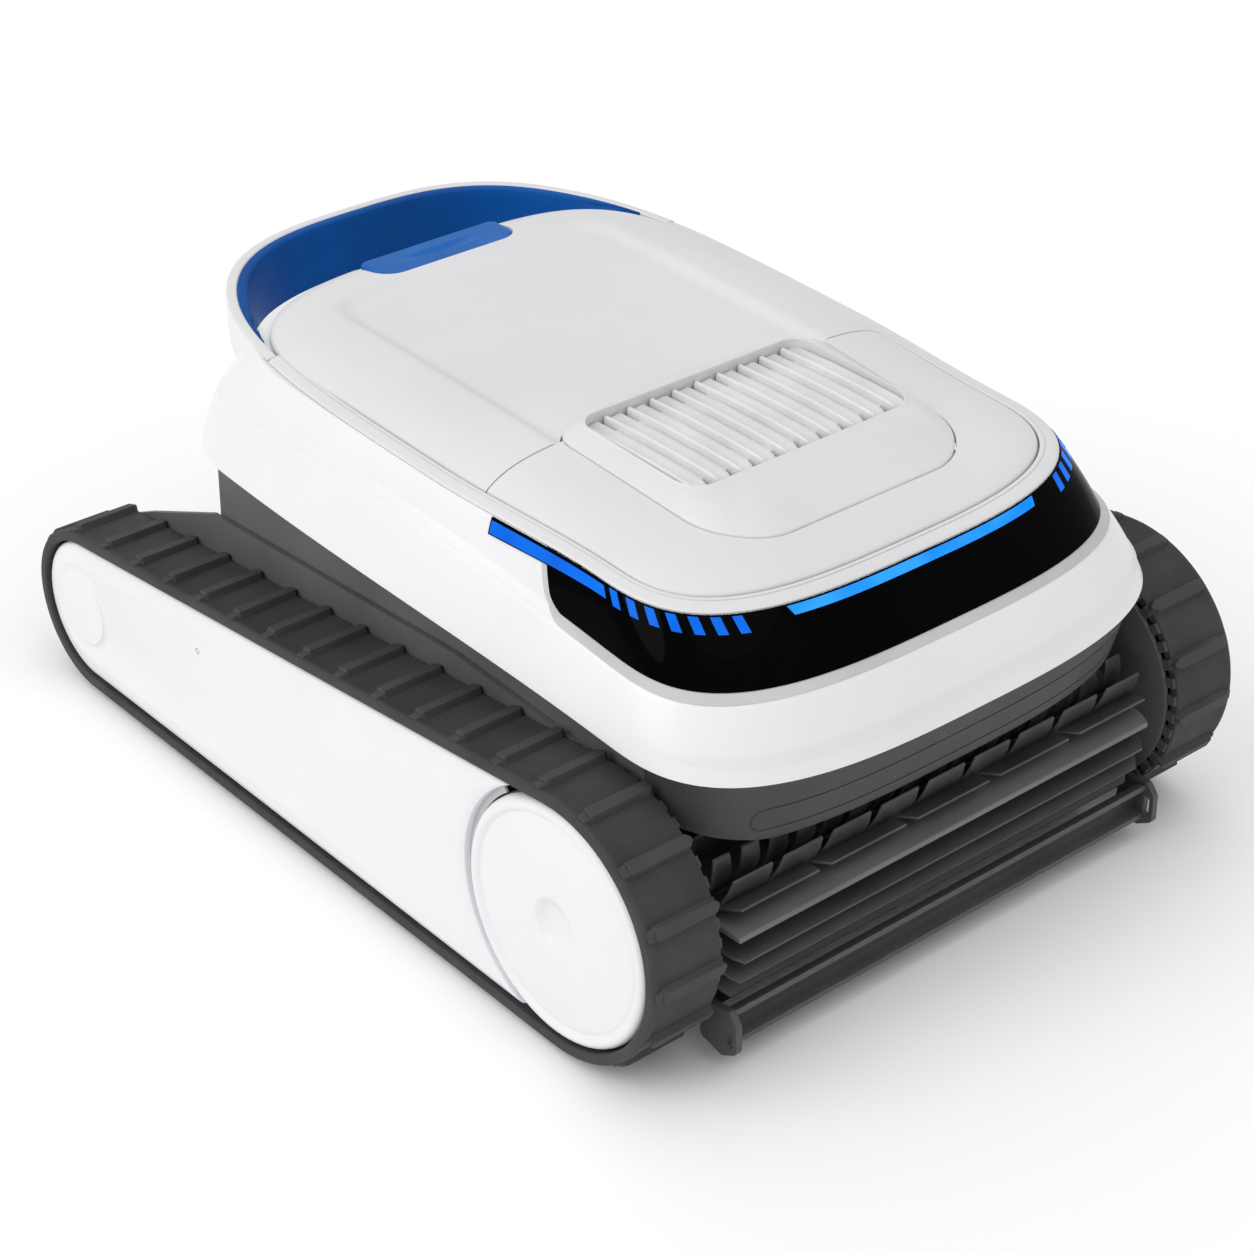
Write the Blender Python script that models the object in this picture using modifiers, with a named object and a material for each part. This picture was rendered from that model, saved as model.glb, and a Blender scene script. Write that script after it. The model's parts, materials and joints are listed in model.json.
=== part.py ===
"""Cordless pool cleaner on two tracks, built as separate closed solids.

Metres, +Z up. The cleaner drives towards -Y, and +X is its left side. The origin is on the floor, at the middle
of the bounding box. Outlines and profiles below are given in millimetres and scaled once, when a mesh is made.
"""

import math

import bmesh
import bpy
from mathutils import Matrix, Vector

MM = 0.001
NAME = "pool_cleaner"

# Tracks
TRACK_OUT = 190.0
TRACK_IN = 150.0
FRONT_Y = -180.0
FRONT_Z = 69.9
FRONT_R = 66.4
REAR_Y = 204.3
REAR_Z = 48.8
REAR_R = 45.3
BELT_T = 5.0
LUG_H = 3.5
LUG_COUNT = 38
LUG_FOOT = 8.0
LUG_TIP = 5.6
HUB_R = 60.3
GROOVE_R = 64.8

# Outlines: half width at the front, gain of half width towards the rear, front y, depth of the front curve, power
SKIRT_LOW = (155.0, 9.0, -251.7, 80.0, 3.0)
SKIRT_TOP = (143.0, 9.0, -232.6, 73.0, 3.1)
VISOR_LOW = (139.0, 8.5, -228.2, 71.0, 3.1)
RIM_OUT = (131.0, 8.0, -209.0, 73.0, 3.1)
# Rear ends: rear y, depth of the rear curve, power
SHELL_END = (160.0, 66.0, 3.6)
BAND_END = (156.5, 72.0, 3.0)
HANDLE_END = (200.0, 100.0, 2.3)
LID_END = (153.0, 66.0, 3.2)
RIM_W = 8.4
RIM_H = 6.0
VISOR_END = -112.0
HANDLE_START = 108.0
LINER_START = 122.0

# Top plates
SEAM_Y = -56.0
PLATE_T = 3.2
CROWN = 10.0

# Brush roller
ROLLER_Y = -192.5
ROLLER_Z = 60.5
ROLLER_R = 49.5
ROLLER_CORE = 25.0
ROLLER_HALF = 139.6
BLADES = 18
BLADE_START = 15.0

# Chassis
TUB_HALF = 146.5
TUB_REAR = 136.0
TUB_FLOOR = 20.0
WALL = 3.5

GAP = 0.4


def clear_scene():
    for thing in list(bpy.data.objects):
        bpy.data.objects.remove(thing, do_unlink=True)


def collection(name):
    made = bpy.data.collections.new(name)
    bpy.context.scene.collection.children.link(made)
    return made


def material(name, colour, roughness, metallic=0.0, glow=0.0):
    mat = bpy.data.materials.new(name)
    mat.use_nodes = True
    shader = mat.node_tree.nodes["Principled BSDF"]
    shader.inputs["Base Color"].default_value = (*colour, 1.0)
    shader.inputs["Roughness"].default_value = roughness
    shader.inputs["Metallic"].default_value = metallic
    if glow:
        shader.inputs["Emission Color"].default_value = (*colour, 1.0)
        shader.inputs["Emission Strength"].default_value = glow
    return mat


def add_object(name, mesh, mat, group, origin=(0.0, 0.0, 0.0)):
    """Links a mesh whose points are in world millimetres, with its object's origin at the given point."""
    mesh.transform(Matrix.Scale(MM, 4) @ Matrix.Translation(-Vector(origin)))
    obj = bpy.data.objects.new(name, mesh)
    obj.location = Vector(origin) * MM
    mesh.materials.append(mat)
    group.objects.link(obj)
    return obj


def finish(name, bm, mat, group, origin=(0.0, 0.0, 0.0), sharp=35.0):
    bmesh.ops.recalc_face_normals(bm, faces=bm.faces)
    mesh = bpy.data.meshes.new(name)
    bm.to_mesh(mesh)
    bm.free()
    mesh.shade_smooth()
    mesh.set_sharp_from_angle(angle=math.radians(sharp))
    return add_object(name, mesh, mat, group, origin)


def smooth_step(value):
    value = max(0.0, min(1.0, value))
    return value * value * (3.0 - 2.0 * value)


def rim_height(y):
    """Height of the top rim's upper edge, which climbs towards the rear."""
    along = y - FRONT_Y
    return 202.2 + 0.101 * along - 0.000105 * along * along


def half_width(spec, y):
    side, gain, front, depth, power = spec
    return side + gain * smooth_step((y - front - depth) / 260.0)


def outline(spec, end, inset=0.0, front_steps=15, side_steps=10, rear_steps=15):
    """Closed loop of (x, y) from the front centre round +X and back, with as many points for every outline."""
    side, gain, front, depth, power = spec
    rear, rear_depth, rear_power = end
    points = []
    for i in range(front_steps + 1):
        turn = math.radians(90.0 * i / front_steps)
        y = front + depth - (depth - inset) * math.cos(turn) ** (2.0 / power)
        points.append(((side - inset) * math.sin(turn) ** (2.0 / power), y))
    y0 = front + depth
    y1 = rear - rear_depth
    for i in range(1, side_steps):
        y = y0 + (y1 - y0) * i / side_steps
        points.append((half_width(spec, y) - inset, y))
    wide = half_width(spec, y1) - inset
    for i in range(rear_steps + 1):
        turn = math.radians(90.0 * i / rear_steps)
        reach = max(0.0, math.cos(turn)) ** (2.0 / rear_power)
        points.append((wide * reach, y1 + (rear_depth - inset) * math.sin(turn) ** (2.0 / rear_power)))
    points[-1] = (0.0, points[-1][1])
    mirror = [(-x, y) for x, y in points[-2:0:-1]]
    return points + mirror


def loop_at(points, height):
    return [(x, y, height(y) if callable(height) else height) for x, y in points]


def loft_ring(loops):
    """Closed band: every loop is joined to the next, and the last to the first."""
    bm = bmesh.new()
    rows = [[bm.verts.new(p) for p in loop] for loop in loops]
    count = len(rows[0])
    for k, row in enumerate(rows):
        after = rows[(k + 1) % len(rows)]
        for i in range(count):
            j = (i + 1) % count
            bm.faces.new((row[i], row[j], after[j], after[i]))
    return bm


def keep_side(bm, point, normal):
    """Cuts the mesh at a plane, drops what lies on the normal's side and closes the cut."""
    geom = bm.verts[:] + bm.edges[:] + bm.faces[:]
    bmesh.ops.bisect_plane(bm, geom=geom, dist=0.0001, plane_co=point, plane_no=normal, clear_outer=True)
    rims = [e for e in bm.edges if e.is_boundary]
    bmesh.ops.edgeloop_fill(bm, edges=rims)


def prism(outlines, axis, low, high):
    """Flat outline with holes, a 2D curve extruded along an axis, as a bmesh in world millimetres."""
    curve = bpy.data.curves.new("outline", "CURVE")
    curve.dimensions = "2D"
    curve.fill_mode = "BOTH"
    curve.extrude = abs(high - low) / 2.0
    for points in outlines:
        spline = curve.splines.new("POLY")
        spline.points.add(len(points) - 1)
        spline.use_cyclic_u = True
        for knot, (a, b) in zip(spline.points, points):
            knot.co = (a, b, 0.0, 1.0)
    guide = bpy.data.objects.new("outline", curve)
    bpy.context.scene.collection.objects.link(guide)
    graph = bpy.context.evaluated_depsgraph_get()
    mesh = bpy.data.meshes.new_from_object(guide.evaluated_get(graph))
    bpy.data.objects.remove(guide, do_unlink=True)
    turns = {
        "X": Matrix(((0, 0, 1, 0), (1, 0, 0, 0), (0, 1, 0, 0), (0, 0, 0, 1))),
        "Y": Matrix(((1, 0, 0, 0), (0, 0, -1, 0), (0, 1, 0, 0), (0, 0, 0, 1))),
        "Z": Matrix.Identity(4),
    }
    middle = (low + high) / 2.0
    shift = {"X": (middle, 0, 0), "Y": (0, middle, 0), "Z": (0, 0, middle)}[axis]
    mesh.transform(Matrix.Translation(shift) @ turns[axis])
    bm = bmesh.new()
    bm.from_mesh(mesh)
    bpy.data.meshes.remove(mesh)
    bmesh.ops.remove_doubles(bm, verts=bm.verts, dist=0.001)
    bmesh.ops.recalc_face_normals(bm, faces=bm.faces)
    return bm


def box(low, high):
    bm = bmesh.new()
    size = Vector(high) - Vector(low)
    middle = (Vector(high) + Vector(low)) / 2.0
    bmesh.ops.create_cube(bm, size=1.0, matrix=Matrix.Translation(middle) @ Matrix.Diagonal((*size, 1.0)))
    return bm


AXES = {
    "X": Matrix.Rotation(math.radians(90.0), 4, "Y"),
    "Y": Matrix.Rotation(math.radians(-90.0), 4, "X"),
    "Z": Matrix.Identity(4),
}


def rod(centre, axis, radius, low, high, segments=32):
    """Round bar along an axis, between two coordinates on that axis."""
    bm = bmesh.new()
    middle = Vector(centre)
    middle["XYZ".index(axis)] = (low + high) / 2.0
    bmesh.ops.create_cone(
        bm,
        cap_ends=True,
        segments=segments,
        radius1=radius,
        radius2=radius,
        depth=abs(high - low),
        matrix=Matrix.Translation(middle) @ AXES[axis],
    )
    return bm


def turned(name, profile, centre, axis, mat, group, segments=36, flip=False):
    """A profile of (radius, distance along the axis), top to bottom down its outer side, spun by a Screw."""
    mesh = bpy.data.meshes.new(name)
    points = [(r * MM, 0.0, h * MM) for r, h in profile]
    mesh.from_pydata(points, [(i, i + 1) for i in range(len(points) - 1)], [])
    obj = bpy.data.objects.new(name, mesh)
    obj.location = Vector(centre) * MM
    tilt = {"X": (0.0, math.radians(90.0), 0.0), "Y": (math.radians(-90.0), 0.0, 0.0), "Z": (0.0, 0.0, 0.0)}[axis]
    if flip:
        tilt = (tilt[0], -tilt[1], tilt[2])
    obj.rotation_euler = tilt
    screw = obj.modifiers.new("turn", "SCREW")
    screw.axis = "Z"
    screw.steps = segments
    screw.render_steps = segments
    screw.use_merge_vertices = True
    screw.merge_threshold = 0.00002
    screw.use_smooth_shade = True
    mesh.materials.append(mat)
    group.objects.link(obj)
    return obj


def boolean(obj, cutter_bm, cutters, operation="DIFFERENCE"):
    """Cuts or joins with a helper mesh, given in world millimetres."""
    bmesh.ops.recalc_face_normals(cutter_bm, faces=cutter_bm.faces)
    mesh = bpy.data.meshes.new(obj.name + "_tool")
    cutter_bm.to_mesh(mesh)
    cutter_bm.free()
    mesh.transform(Matrix.Scale(MM, 4))
    tool = bpy.data.objects.new(obj.name + "_tool", mesh)
    tool.hide_render = True
    tool.display_type = "WIRE"
    cutters.objects.link(tool)
    step = obj.modifiers.new("cut", "BOOLEAN")
    step.operation = operation
    step.solver = "EXACT"
    step.object = tool


def arc(centre, radius, start, end, steps):
    """Points of an arc in a plane, angles in degrees, both ends included."""
    found = []
    for i in range(steps + 1):
        turn = math.radians(start + (end - start) * i / steps)
        found.append((centre[0] + radius * math.cos(turn), centre[1] + radius * math.sin(turn)))
    return found


def tangent_angle(front_r, rear_r):
    """Direction of the normal of the upper tangent from the front circle to the rear circle, in degrees."""
    run = REAR_Y - FRONT_Y
    drop = FRONT_Z - REAR_Z
    return 90.0 - math.degrees(math.atan2(drop, run) + math.asin((front_r - rear_r) / math.hypot(run, drop)))


def track_loop(offset, steps=28):
    """Side outline of the belt, grown by an offset: (y, z) points, forwards round the front, then the rear."""
    front_r = FRONT_R + offset
    rear_r = REAR_R + offset
    top = tangent_angle(FRONT_R, REAR_R)
    front = arc((FRONT_Y, FRONT_Z), front_r, 270.0, top, steps)
    rear = arc((REAR_Y, REAR_Z), rear_r, top, -90.0, steps)
    return front + rear


def belt_path():
    """Centre line of the belt's outer face as short steps: (y, z, outward y, outward z, distance)."""
    top = tangent_angle(FRONT_R, REAR_R)
    rows = []
    for y, z in arc((FRONT_Y, FRONT_Z), 1.0, 270.0, top, 60):
        n = (y - FRONT_Y, z - FRONT_Z)
        rows.append((FRONT_Y + FRONT_R * n[0], FRONT_Z + FRONT_R * n[1], n[0], n[1]))
    for y, z in arc((REAR_Y, REAR_Z), 1.0, top, -90.0, 60):
        n = (y - REAR_Y, z - REAR_Z)
        rows.append((REAR_Y + REAR_R * n[0], REAR_Z + REAR_R * n[1], n[0], n[1]))
    rows.append(rows[0])
    path = [(*rows[0], 0.0)]
    for before, after in zip(rows, rows[1:]):
        step = math.hypot(after[0] - before[0], after[1] - before[1])
        path.append((*after, path[-1][4] + step))
    return path


def on_path(path, distance):
    total = path[-1][4]
    distance = distance % total
    for before, after in zip(path, path[1:]):
        if before[4] <= distance <= after[4] and after[4] > before[4]:
            t = (distance - before[4]) / (after[4] - before[4])
            return [before[k] + (after[k] - before[k]) * t for k in range(4)]
    return list(path[0][:4])


def belt_outline():
    """Outer edge of the belt seen from the side, with its lugs."""
    path = belt_path()
    total = path[-1][4]
    pitch = total / LUG_COUNT
    points = []
    for k in range(LUG_COUNT):
        middle = (k + 0.5) * pitch
        for shift, height in (
            (-pitch / 2.0, 0.0),
            (-pitch / 3.2, 0.0),
            (-LUG_FOOT / 2.0, 0.0),
            (-LUG_TIP / 2.0, LUG_H),
            (LUG_TIP / 2.0, LUG_H),
            (LUG_FOOT / 2.0, 0.0),
            (pitch / 3.2, 0.0),
        ):
            y, z, ny, nz = on_path(path, middle + shift)
            points.append((y + ny * height, z + nz * height))
    return points


def mirrored(bm, side):
    if side < 0:
        bmesh.ops.scale(bm, vec=(-1.0, 1.0, 1.0), verts=bm.verts)
        bmesh.ops.reverse_faces(bm, faces=bm.faces)
    return bm


def plate_half(y):
    """Half width of the top plates inside the rim, at a place along the cleaner."""
    side, gain, front, depth, power = RIM_OUT
    edge = RIM_W + 0.5
    wide = half_width(RIM_OUT, y) - edge
    ahead = (front + depth - y) / (depth - edge)
    if ahead > 0.0:
        wide *= max(0.0, 1.0 - min(1.0, ahead) ** power) ** (1.0 / power)
    rear, rear_depth, rear_power = LID_END
    behind = (y - rear + rear_depth) / rear_depth
    if behind > 0.0:
        wide *= max(0.0, 1.0 - min(1.0, behind) ** rear_power) ** (1.0 / rear_power)
    return wide


def crown_height(x, y):
    """Top surface of the plates: a soft roll up from the rim to a nearly flat middle."""
    inside = plate_half(y) - abs(x)
    front = y - (RIM_OUT[2] + RIM_W)
    rear = LID_END[0] - y
    near = min(inside, front * 1.1, rear * 1.6)
    return rim_height(y) + CROWN * (1.0 - math.exp(-max(0.0, near) / 17.0))


def top_plate(y0, y1, columns=20, rows=16):
    """Closed crowned sheet between two places along the cleaner, as wide as the opening in the rim."""
    places = []
    for j in range(rows + 1):
        t = j / rows
        t = t**2.2 if y0 < SEAM_Y - 20.0 else 1.0 - (1.0 - t) ** 2.2
        places.append(y0 + (y1 - y0) * t)
    bm = bmesh.new()
    layers = []
    for drop in (0.0, PLATE_T):
        grid = []
        for y in places:
            wide = plate_half(y) - GAP
            line = []
            for i in range(columns + 1):
                x = wide * ((2.0 * i / columns - 1.0) * 0.7 - math.cos(math.pi * i / columns) * 0.3)
                line.append(bm.verts.new((x, y, crown_height(x, y) - drop)))
            grid.append(line)
        layers.append(grid)
    upper, lower = layers
    for j in range(rows):
        for i in range(columns):
            bm.faces.new((upper[j][i], upper[j][i + 1], upper[j + 1][i + 1], upper[j + 1][i]))
            bm.faces.new((lower[j][i], lower[j + 1][i], lower[j + 1][i + 1], lower[j][i + 1]))
    for j in range(rows):
        bm.faces.new((upper[j][0], upper[j + 1][0], lower[j + 1][0], lower[j][0]))
        bm.faces.new((upper[j][-1], lower[j][-1], lower[j + 1][-1], upper[j + 1][-1]))
    for i in range(columns):
        bm.faces.new((upper[0][i], lower[0][i], lower[0][i + 1], upper[0][i + 1]))
        bm.faces.new((upper[-1][i], upper[-1][i + 1], lower[-1][i + 1], lower[-1][i]))
    return bm


def rounded(corners, radii, steps=5):
    """Polygon with rounded corners; the same number of points for every outline with as many corners."""
    found = []
    count = len(corners)
    for k, (corner, radius) in enumerate(zip(corners, radii)):
        here = Vector(corner)
        before = (Vector(corners[k - 1]) - here).normalized()
        after = (Vector(corners[(k + 1) % count]) - here).normalized()
        angle = before.angle(after)
        if angle > math.pi - 0.01:
            found += [tuple(here + before * radius * (1.0 - 2.0 * i / steps)) for i in range(steps + 1)]
            continue
        reach = radius / math.tan(angle / 2.0)
        middle = here + (before + after).normalized() * (radius / math.sin(angle / 2.0))
        first = here + before * reach - middle
        last = here + after * reach - middle
        sweep = first.angle_signed(last)
        for i in range(steps + 1):
            turn = -sweep * i / steps
            c, s = math.cos(turn), math.sin(turn)
            found.append((middle.x + c * first.x - s * first.y, middle.y + s * first.x + c * first.y))
    return found


def bezel_outline(grow):
    """Plan of the grille bezel: narrow at the front, widest a little behind, bowed at the rear."""
    corners = [
        (64.0 + grow, -180.5 - grow),
        (87.0 + grow, -156.0 - 0.4 * grow),
        (85.0 + grow, -50.0 + grow),
        (0.0, -37.0 + grow),
        (-85.0 - grow, -50.0 + grow),
        (-87.0 - grow, -156.0 - 0.4 * grow),
        (-64.0 - grow, -180.5 - grow),
    ]
    radii = [16.0, 22.0, 12.0, 300.0, 12.0, 22.0, 16.0]
    return rounded(corners, radii)


def build_tracks(mats, parts, cutters):
    belt_top = tangent_angle(FRONT_R, REAR_R)
    for side, tag in ((1, "l"), (-1, "r")):
        bm = prism([belt_outline(), track_loop(-BELT_T)], "X", TRACK_IN, TRACK_OUT)
        finish("track_belt_" + tag, mirrored(bm, side), mats["rubber"], parts)

        wheel = [
            (5.3, 183.6),
            (20.0, 183.6),
            (22.0, 178.0),
            (50.0, 176.0),
            (54.0, 183.6),
            (60.9, 183.6),
            (60.9, 156.0),
            (56.0, 156.0),
            (56.0, 150.4),
            (5.3, 150.4),
            (5.3, 183.6),
        ]
        obj = turned("drive_wheel_" + tag, wheel, (0.0, FRONT_Y, FRONT_Z), "X", mats["dark"], parts, flip=side < 0)
        hub = [
            (0.0, 187.2),
            (6.0, 187.4),
            (11.0, 188.4),
            (13.5, 189.4),
            (50.0, 189.2),
            (54.0, 189.9),
            (58.5, 189.6),
            (HUB_R, 187.5),
            (HUB_R, 184.1),
            (0.0, 184.1),
        ]
        turned("hub_cap_" + tag, hub, (0.0, FRONT_Y, FRONT_Z), "X", mats["white"], parts, flip=side < 0)
        shaft = [(0.0, 183.4), (4.9, 183.4), (4.9, 147.2), (0.0, 147.2)]
        turned("drive_shaft_" + tag, shaft, (0.0, FRONT_Y, FRONT_Z), "X", mats["steel"], parts, 24, side < 0)

        idler = [
            (6.1, 174.0),
            (12.0, 174.0),
            (14.0, 170.0),
            (30.0, 170.0),
            (33.0, 174.0),
            (39.9, 174.0),
            (39.9, 156.0),
            (35.0, 156.0),
            (35.0, 150.8),
            (6.1, 150.8),
            (6.1, 174.0),
        ]
        turned("idler_wheel_" + tag, idler, (0.0, REAR_Y, REAR_Z), "X", mats["dark"], parts, flip=side < 0)
        pin = [(0.0, 174.4), (6.0, 174.4), (6.0, 150.0), (0.0, 150.0)]
        turned("idler_pin_" + tag, pin, (0.0, REAR_Y, REAR_Z), "X", mats["steel"], parts, flip=side < 0)

        # Frame plate between the wheels, inside the belt; its rear end reaches past the idler on the outer side
        inner = FRONT_R - BELT_T - 1.2
        small = REAR_R - BELT_T - 1.2
        front_arc = arc((FRONT_Y, FRONT_Z), 62.6, -72.0, belt_top - 17.0, 14)
        rear_arc = arc((REAR_Y, REAR_Z), 42.0, 225.0, 125.0, 10)
        beam = [p for p in front_arc if p[0] > FRONT_Y + 12.0]
        body = [(y, max(z, 10.2)) for y, z in beam] + [(y, z) for y, z in rear_arc[::-1]]
        body = [(y, max(10.2, z)) for y, z in body]
        bm = prism([body], "X", 153.0, 175.0)
        finish("track_frame_" + tag, mirrored(bm, side), mats["dark"], parts)

        # Side cover: a tapering panel whose front end is scooped round the hub cap
        groove = arc((FRONT_Y, FRONT_Z), GROOVE_R, belt_top - 22.4, -76.0, 26)
        rear = arc((REAR_Y, REAR_Z), small, -90.0, belt_top, 22)
        top_point = (
            FRONT_Y + inner * math.cos(math.radians(belt_top)) + 40.0,
            FRONT_Z + inner * math.sin(math.radians(belt_top)) - 40.0 * math.cos(math.radians(belt_top)),
        )
        groove = [p for p in groove if p[1] > FRONT_Z - inner + 0.05]
        cover = groove + [(groove[-1][0] + 4.0, FRONT_Z - inner)] + rear + [top_point]
        bm = prism([cover], "X", 175.4, 189.6)
        obj = finish("side_cover_" + tag, mirrored(bm, side), mats["white"], parts)
        boolean(obj, rod((0.0, REAR_Y + 4.0, REAR_Z), "X", 26.0, 187.6 * side, 200.0 * side, 40), cutters)


def build_shell(mats, parts, cutters):
    def low(y):
        return 142.0 + 20.0 * (y - SKIRT_LOW[2]) / 300.0

    def crease(y):
        return 173.0 + 22.0 * smooth_step((y - SKIRT_TOP[2]) / 260.0)

    def outer(spec, inset=0.0):
        return outline(spec, SHELL_END, inset)

    step = 3.2

    def step_z(y):
        return crease(y) + step

    # Lower ring: the skirt that hangs round the chassis, open above and below
    loops = [
        loop_at(outer(SKIRT_LOW), low),
        loop_at(outer(SKIRT_TOP), crease),
        loop_at(outer(VISOR_LOW), step_z),
        loop_at(outer(VISOR_LOW, 6.0), step_z),
        loop_at(outer(SKIRT_LOW, 4.0), low),
    ]
    bm = loft_ring(loops)
    finish("skirt_shell", bm, mats["white"], parts)

    # Upper ring between the step and the rim, cut into the black visor ahead and the white band behind
    def band_top(y):
        return rim_height(y) - RIM_H - GAP

    def band_low(y):
        return step_z(y) + GAP

    def band(top):
        rim = outline(RIM_OUT, BAND_END)
        rim_in = outline(RIM_OUT, BAND_END, 3.6)
        low_in = outline(VISOR_LOW, SHELL_END, 3.6)
        return loft_ring(
            [
                loop_at(outer(VISOR_LOW), band_low),
                loop_at(rim, top),
                loop_at(rim_in, top),
                loop_at(low_in, band_low),
            ]
        )

    bm = band(band_top)
    keep_side(bm, (0.0, VISOR_END + GAP, 0.0), (0.0, -1.0, 0.0))
    finish("upper_band", bm, mats["white"], parts)
    bm = band(lambda y: band_top(y) - 4.2)
    keep_side(bm, (0.0, VISOR_END, 0.0), (0.0, 1.0, 0.0))
    finish("visor", bm, mats["black"], parts)

    # Light strips in the slot between the visor and the rim
    def strip():
        rim = outline(RIM_OUT, BAND_END)
        rim_in = outline(RIM_OUT, BAND_END, 3.4)
        return loft_ring(
            [
                loop_at(rim, lambda y: band_top(y) - 3.9),
                loop_at(rim, band_top),
                loop_at(rim_in, band_top),
                loop_at(rim_in, lambda y: band_top(y) - 3.9),
            ]
        )

    bm = strip()
    keep_side(bm, (0.0, VISOR_END, 0.0), (0.0, 1.0, 0.0))
    keep_side(bm, (74.5, 0.0, 0.0), (1.0, 0.0, 0.0))
    keep_side(bm, (-74.5, 0.0, 0.0), (-1.0, 0.0, 0.0))
    finish("light_bar_front", bm, mats["blue_glow"], parts)
    for side, tag in ((1, "l"), (-1, "r")):
        bm = strip()
        keep_side(bm, (0.0, VISOR_END, 0.0), (0.0, 1.0, 0.0))
        keep_side(bm, ((74.5 + GAP) * side, 0.0, 0.0), (-side, 0.0, 0.0))
        finish("light_strip_" + tag, bm, mats["blue_glow"], parts)


def build_top(mats, parts, cutters):
    def rim_low(y):
        return rim_height(y) - RIM_H

    def rear_out(inset):
        return outline(RIM_OUT, HANDLE_END, inset)

    # Rim: a flat band round the plates, open at the back where the handle takes over
    bm = loft_ring(
        [
            loop_at(rear_out(0.4), rim_low),
            loop_at(rear_out(0.0), lambda y: rim_height(y) - 2.0),
            loop_at(rear_out(1.6), rim_height),
            loop_at(rear_out(RIM_W), rim_height),
            loop_at(rear_out(RIM_W), rim_low),
        ]
    )
    keep_side(bm, (0.0, HANDLE_START, 0.0), (0.0, 1.0, 0.0))
    finish("top_rim", bm, mats["pale"], parts)

    # Handle: a tall arch that carries the rim round the back, with a liner along its inner face
    def handle_low(y):
        return rim_height(y) - RIM_H - 18.0 * smooth_step((y - HANDLE_START - 40.0) / 32.0)

    def handle_top(y):
        return rim_height(y) + 4.0 * smooth_step((y - HANDLE_START - 10.0) / 60.0)

    bm = loft_ring(
        [
            loop_at(rear_out(1.2), handle_low),
            loop_at(rear_out(0.0), lambda y: handle_top(y) - 5.0),
            loop_at(rear_out(1.6), lambda y: handle_top(y) - 1.0),
            loop_at(rear_out(4.6), lambda y: handle_top(y) - 1.0),
            loop_at(rear_out(5.2), handle_low),
        ]
    )
    keep_side(bm, (0.0, HANDLE_START + GAP, 0.0), (0.0, -1.0, 0.0))
    finish("handle_arch", bm, mats["white"], parts)

    bm = loft_ring(
        [
            loop_at(rear_out(5.6), handle_low),
            loop_at(rear_out(5.0), handle_top),
            loop_at(rear_out(10.4), handle_top),
            loop_at(rear_out(11.6), lambda y: handle_top(y) - 2.0),
            loop_at(rear_out(12.6), handle_low),
        ]
    )
    keep_side(bm, (0.0, LINER_START, 0.0), (0.0, -1.0, 0.0))
    finish("handle_liner", bm, mats["blue"], parts)

    # Front deck and rear lid share one crowned surface, cut at the seam and round the bezel
    front = RIM_OUT[2] + RIM_W + 0.5 + GAP + 0.3
    deck = finish("front_deck", top_plate(front, SEAM_Y - GAP), mats["pale"], parts)
    boolean(deck, prism([bezel_outline(0.4)], "Z", 150.0, 260.0), cutters)
    hinge = (0.0, SEAM_Y, 223.6)
    lid = finish("lid", top_plate(SEAM_Y + GAP, LID_END[0] - 0.3), mats["pale"], parts, hinge)
    boolean(lid, prism([bezel_outline(1.0)], "Z", 150.0, 260.0), cutters)
    notch = rounded([(-44.8, 129.2), (44.8, 129.2), (44.8, 170.0), (-44.8, 170.0)], [12.8, 12.8, 2.0, 2.0])
    boolean(lid, prism([notch], "Z", 180.0, 260.0), cutters)

    # Latch tab across the rear edge of the lid, turning about its front edge
    bm = prism([rounded([(-44.0, 129.8), (44.0, 129.8), (44.0, 153.0), (-44.0, 153.0)], [12.0, 12.0, 4.0, 4.0])],
               "Z", 219.5, 225.5)
    finish("latch_tab", bm, mats["blue"], parts, (0.0, 129.8, 225.5))

    # Bezel: a raised ring with sloping sides round the outlet, on the plates
    def base(y):
        return rim_height(y) + 4.0

    def crest(y):
        return 225.0 + 0.035 * (y + 100.0)

    hole = rounded(
        [(40.0, -132.4), (70.4, -132.4), (70.4, -51.8), (0.0, -51.8), (-70.4, -51.8), (-70.4, -132.4),
         (-40.0, -132.4)],
        [3.0, 7.0, 7.0, 3.0, 7.0, 7.0, 3.0],
    )
    foot = bezel_outline(0.0)
    crown = [(a[0] + (b[0] - a[0]) * 0.86, a[1] + (b[1] - a[1]) * 0.86) for a, b in zip(foot, hole)]
    bm = loft_ring(
        [
            loop_at(foot, base),
            loop_at(bezel_outline(-0.6), lambda y: base(y) + 4.5),
            loop_at(crown, crest),
            loop_at(hole, crest),
            loop_at(hole, base),
        ]
    )
    finish("grille_bezel", bm, mats["pale"], parts)

    # Grille: ten bars from front to back between nine slots, in one plate
    frame = rounded([(69.6, -131.6), (69.6, -52.6), (-69.6, -52.6), (-69.6, -131.6)], [6.0, 6.0, 6.0, 6.0])
    slots = []
    for k in range(9):
        x = (k - 4) * 14.0
        slots.append(rounded([(x - 2.2, -127.0), (x + 2.2, -127.0), (x + 2.2, -57.0), (x - 2.2, -57.0)],
                             [2.0] * 4, 3)[::-1])
    bm = prism([frame] + slots, "Z", 218.5, 223.5)
    finish("grille_ribs", bm, mats["white"], parts)


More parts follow.
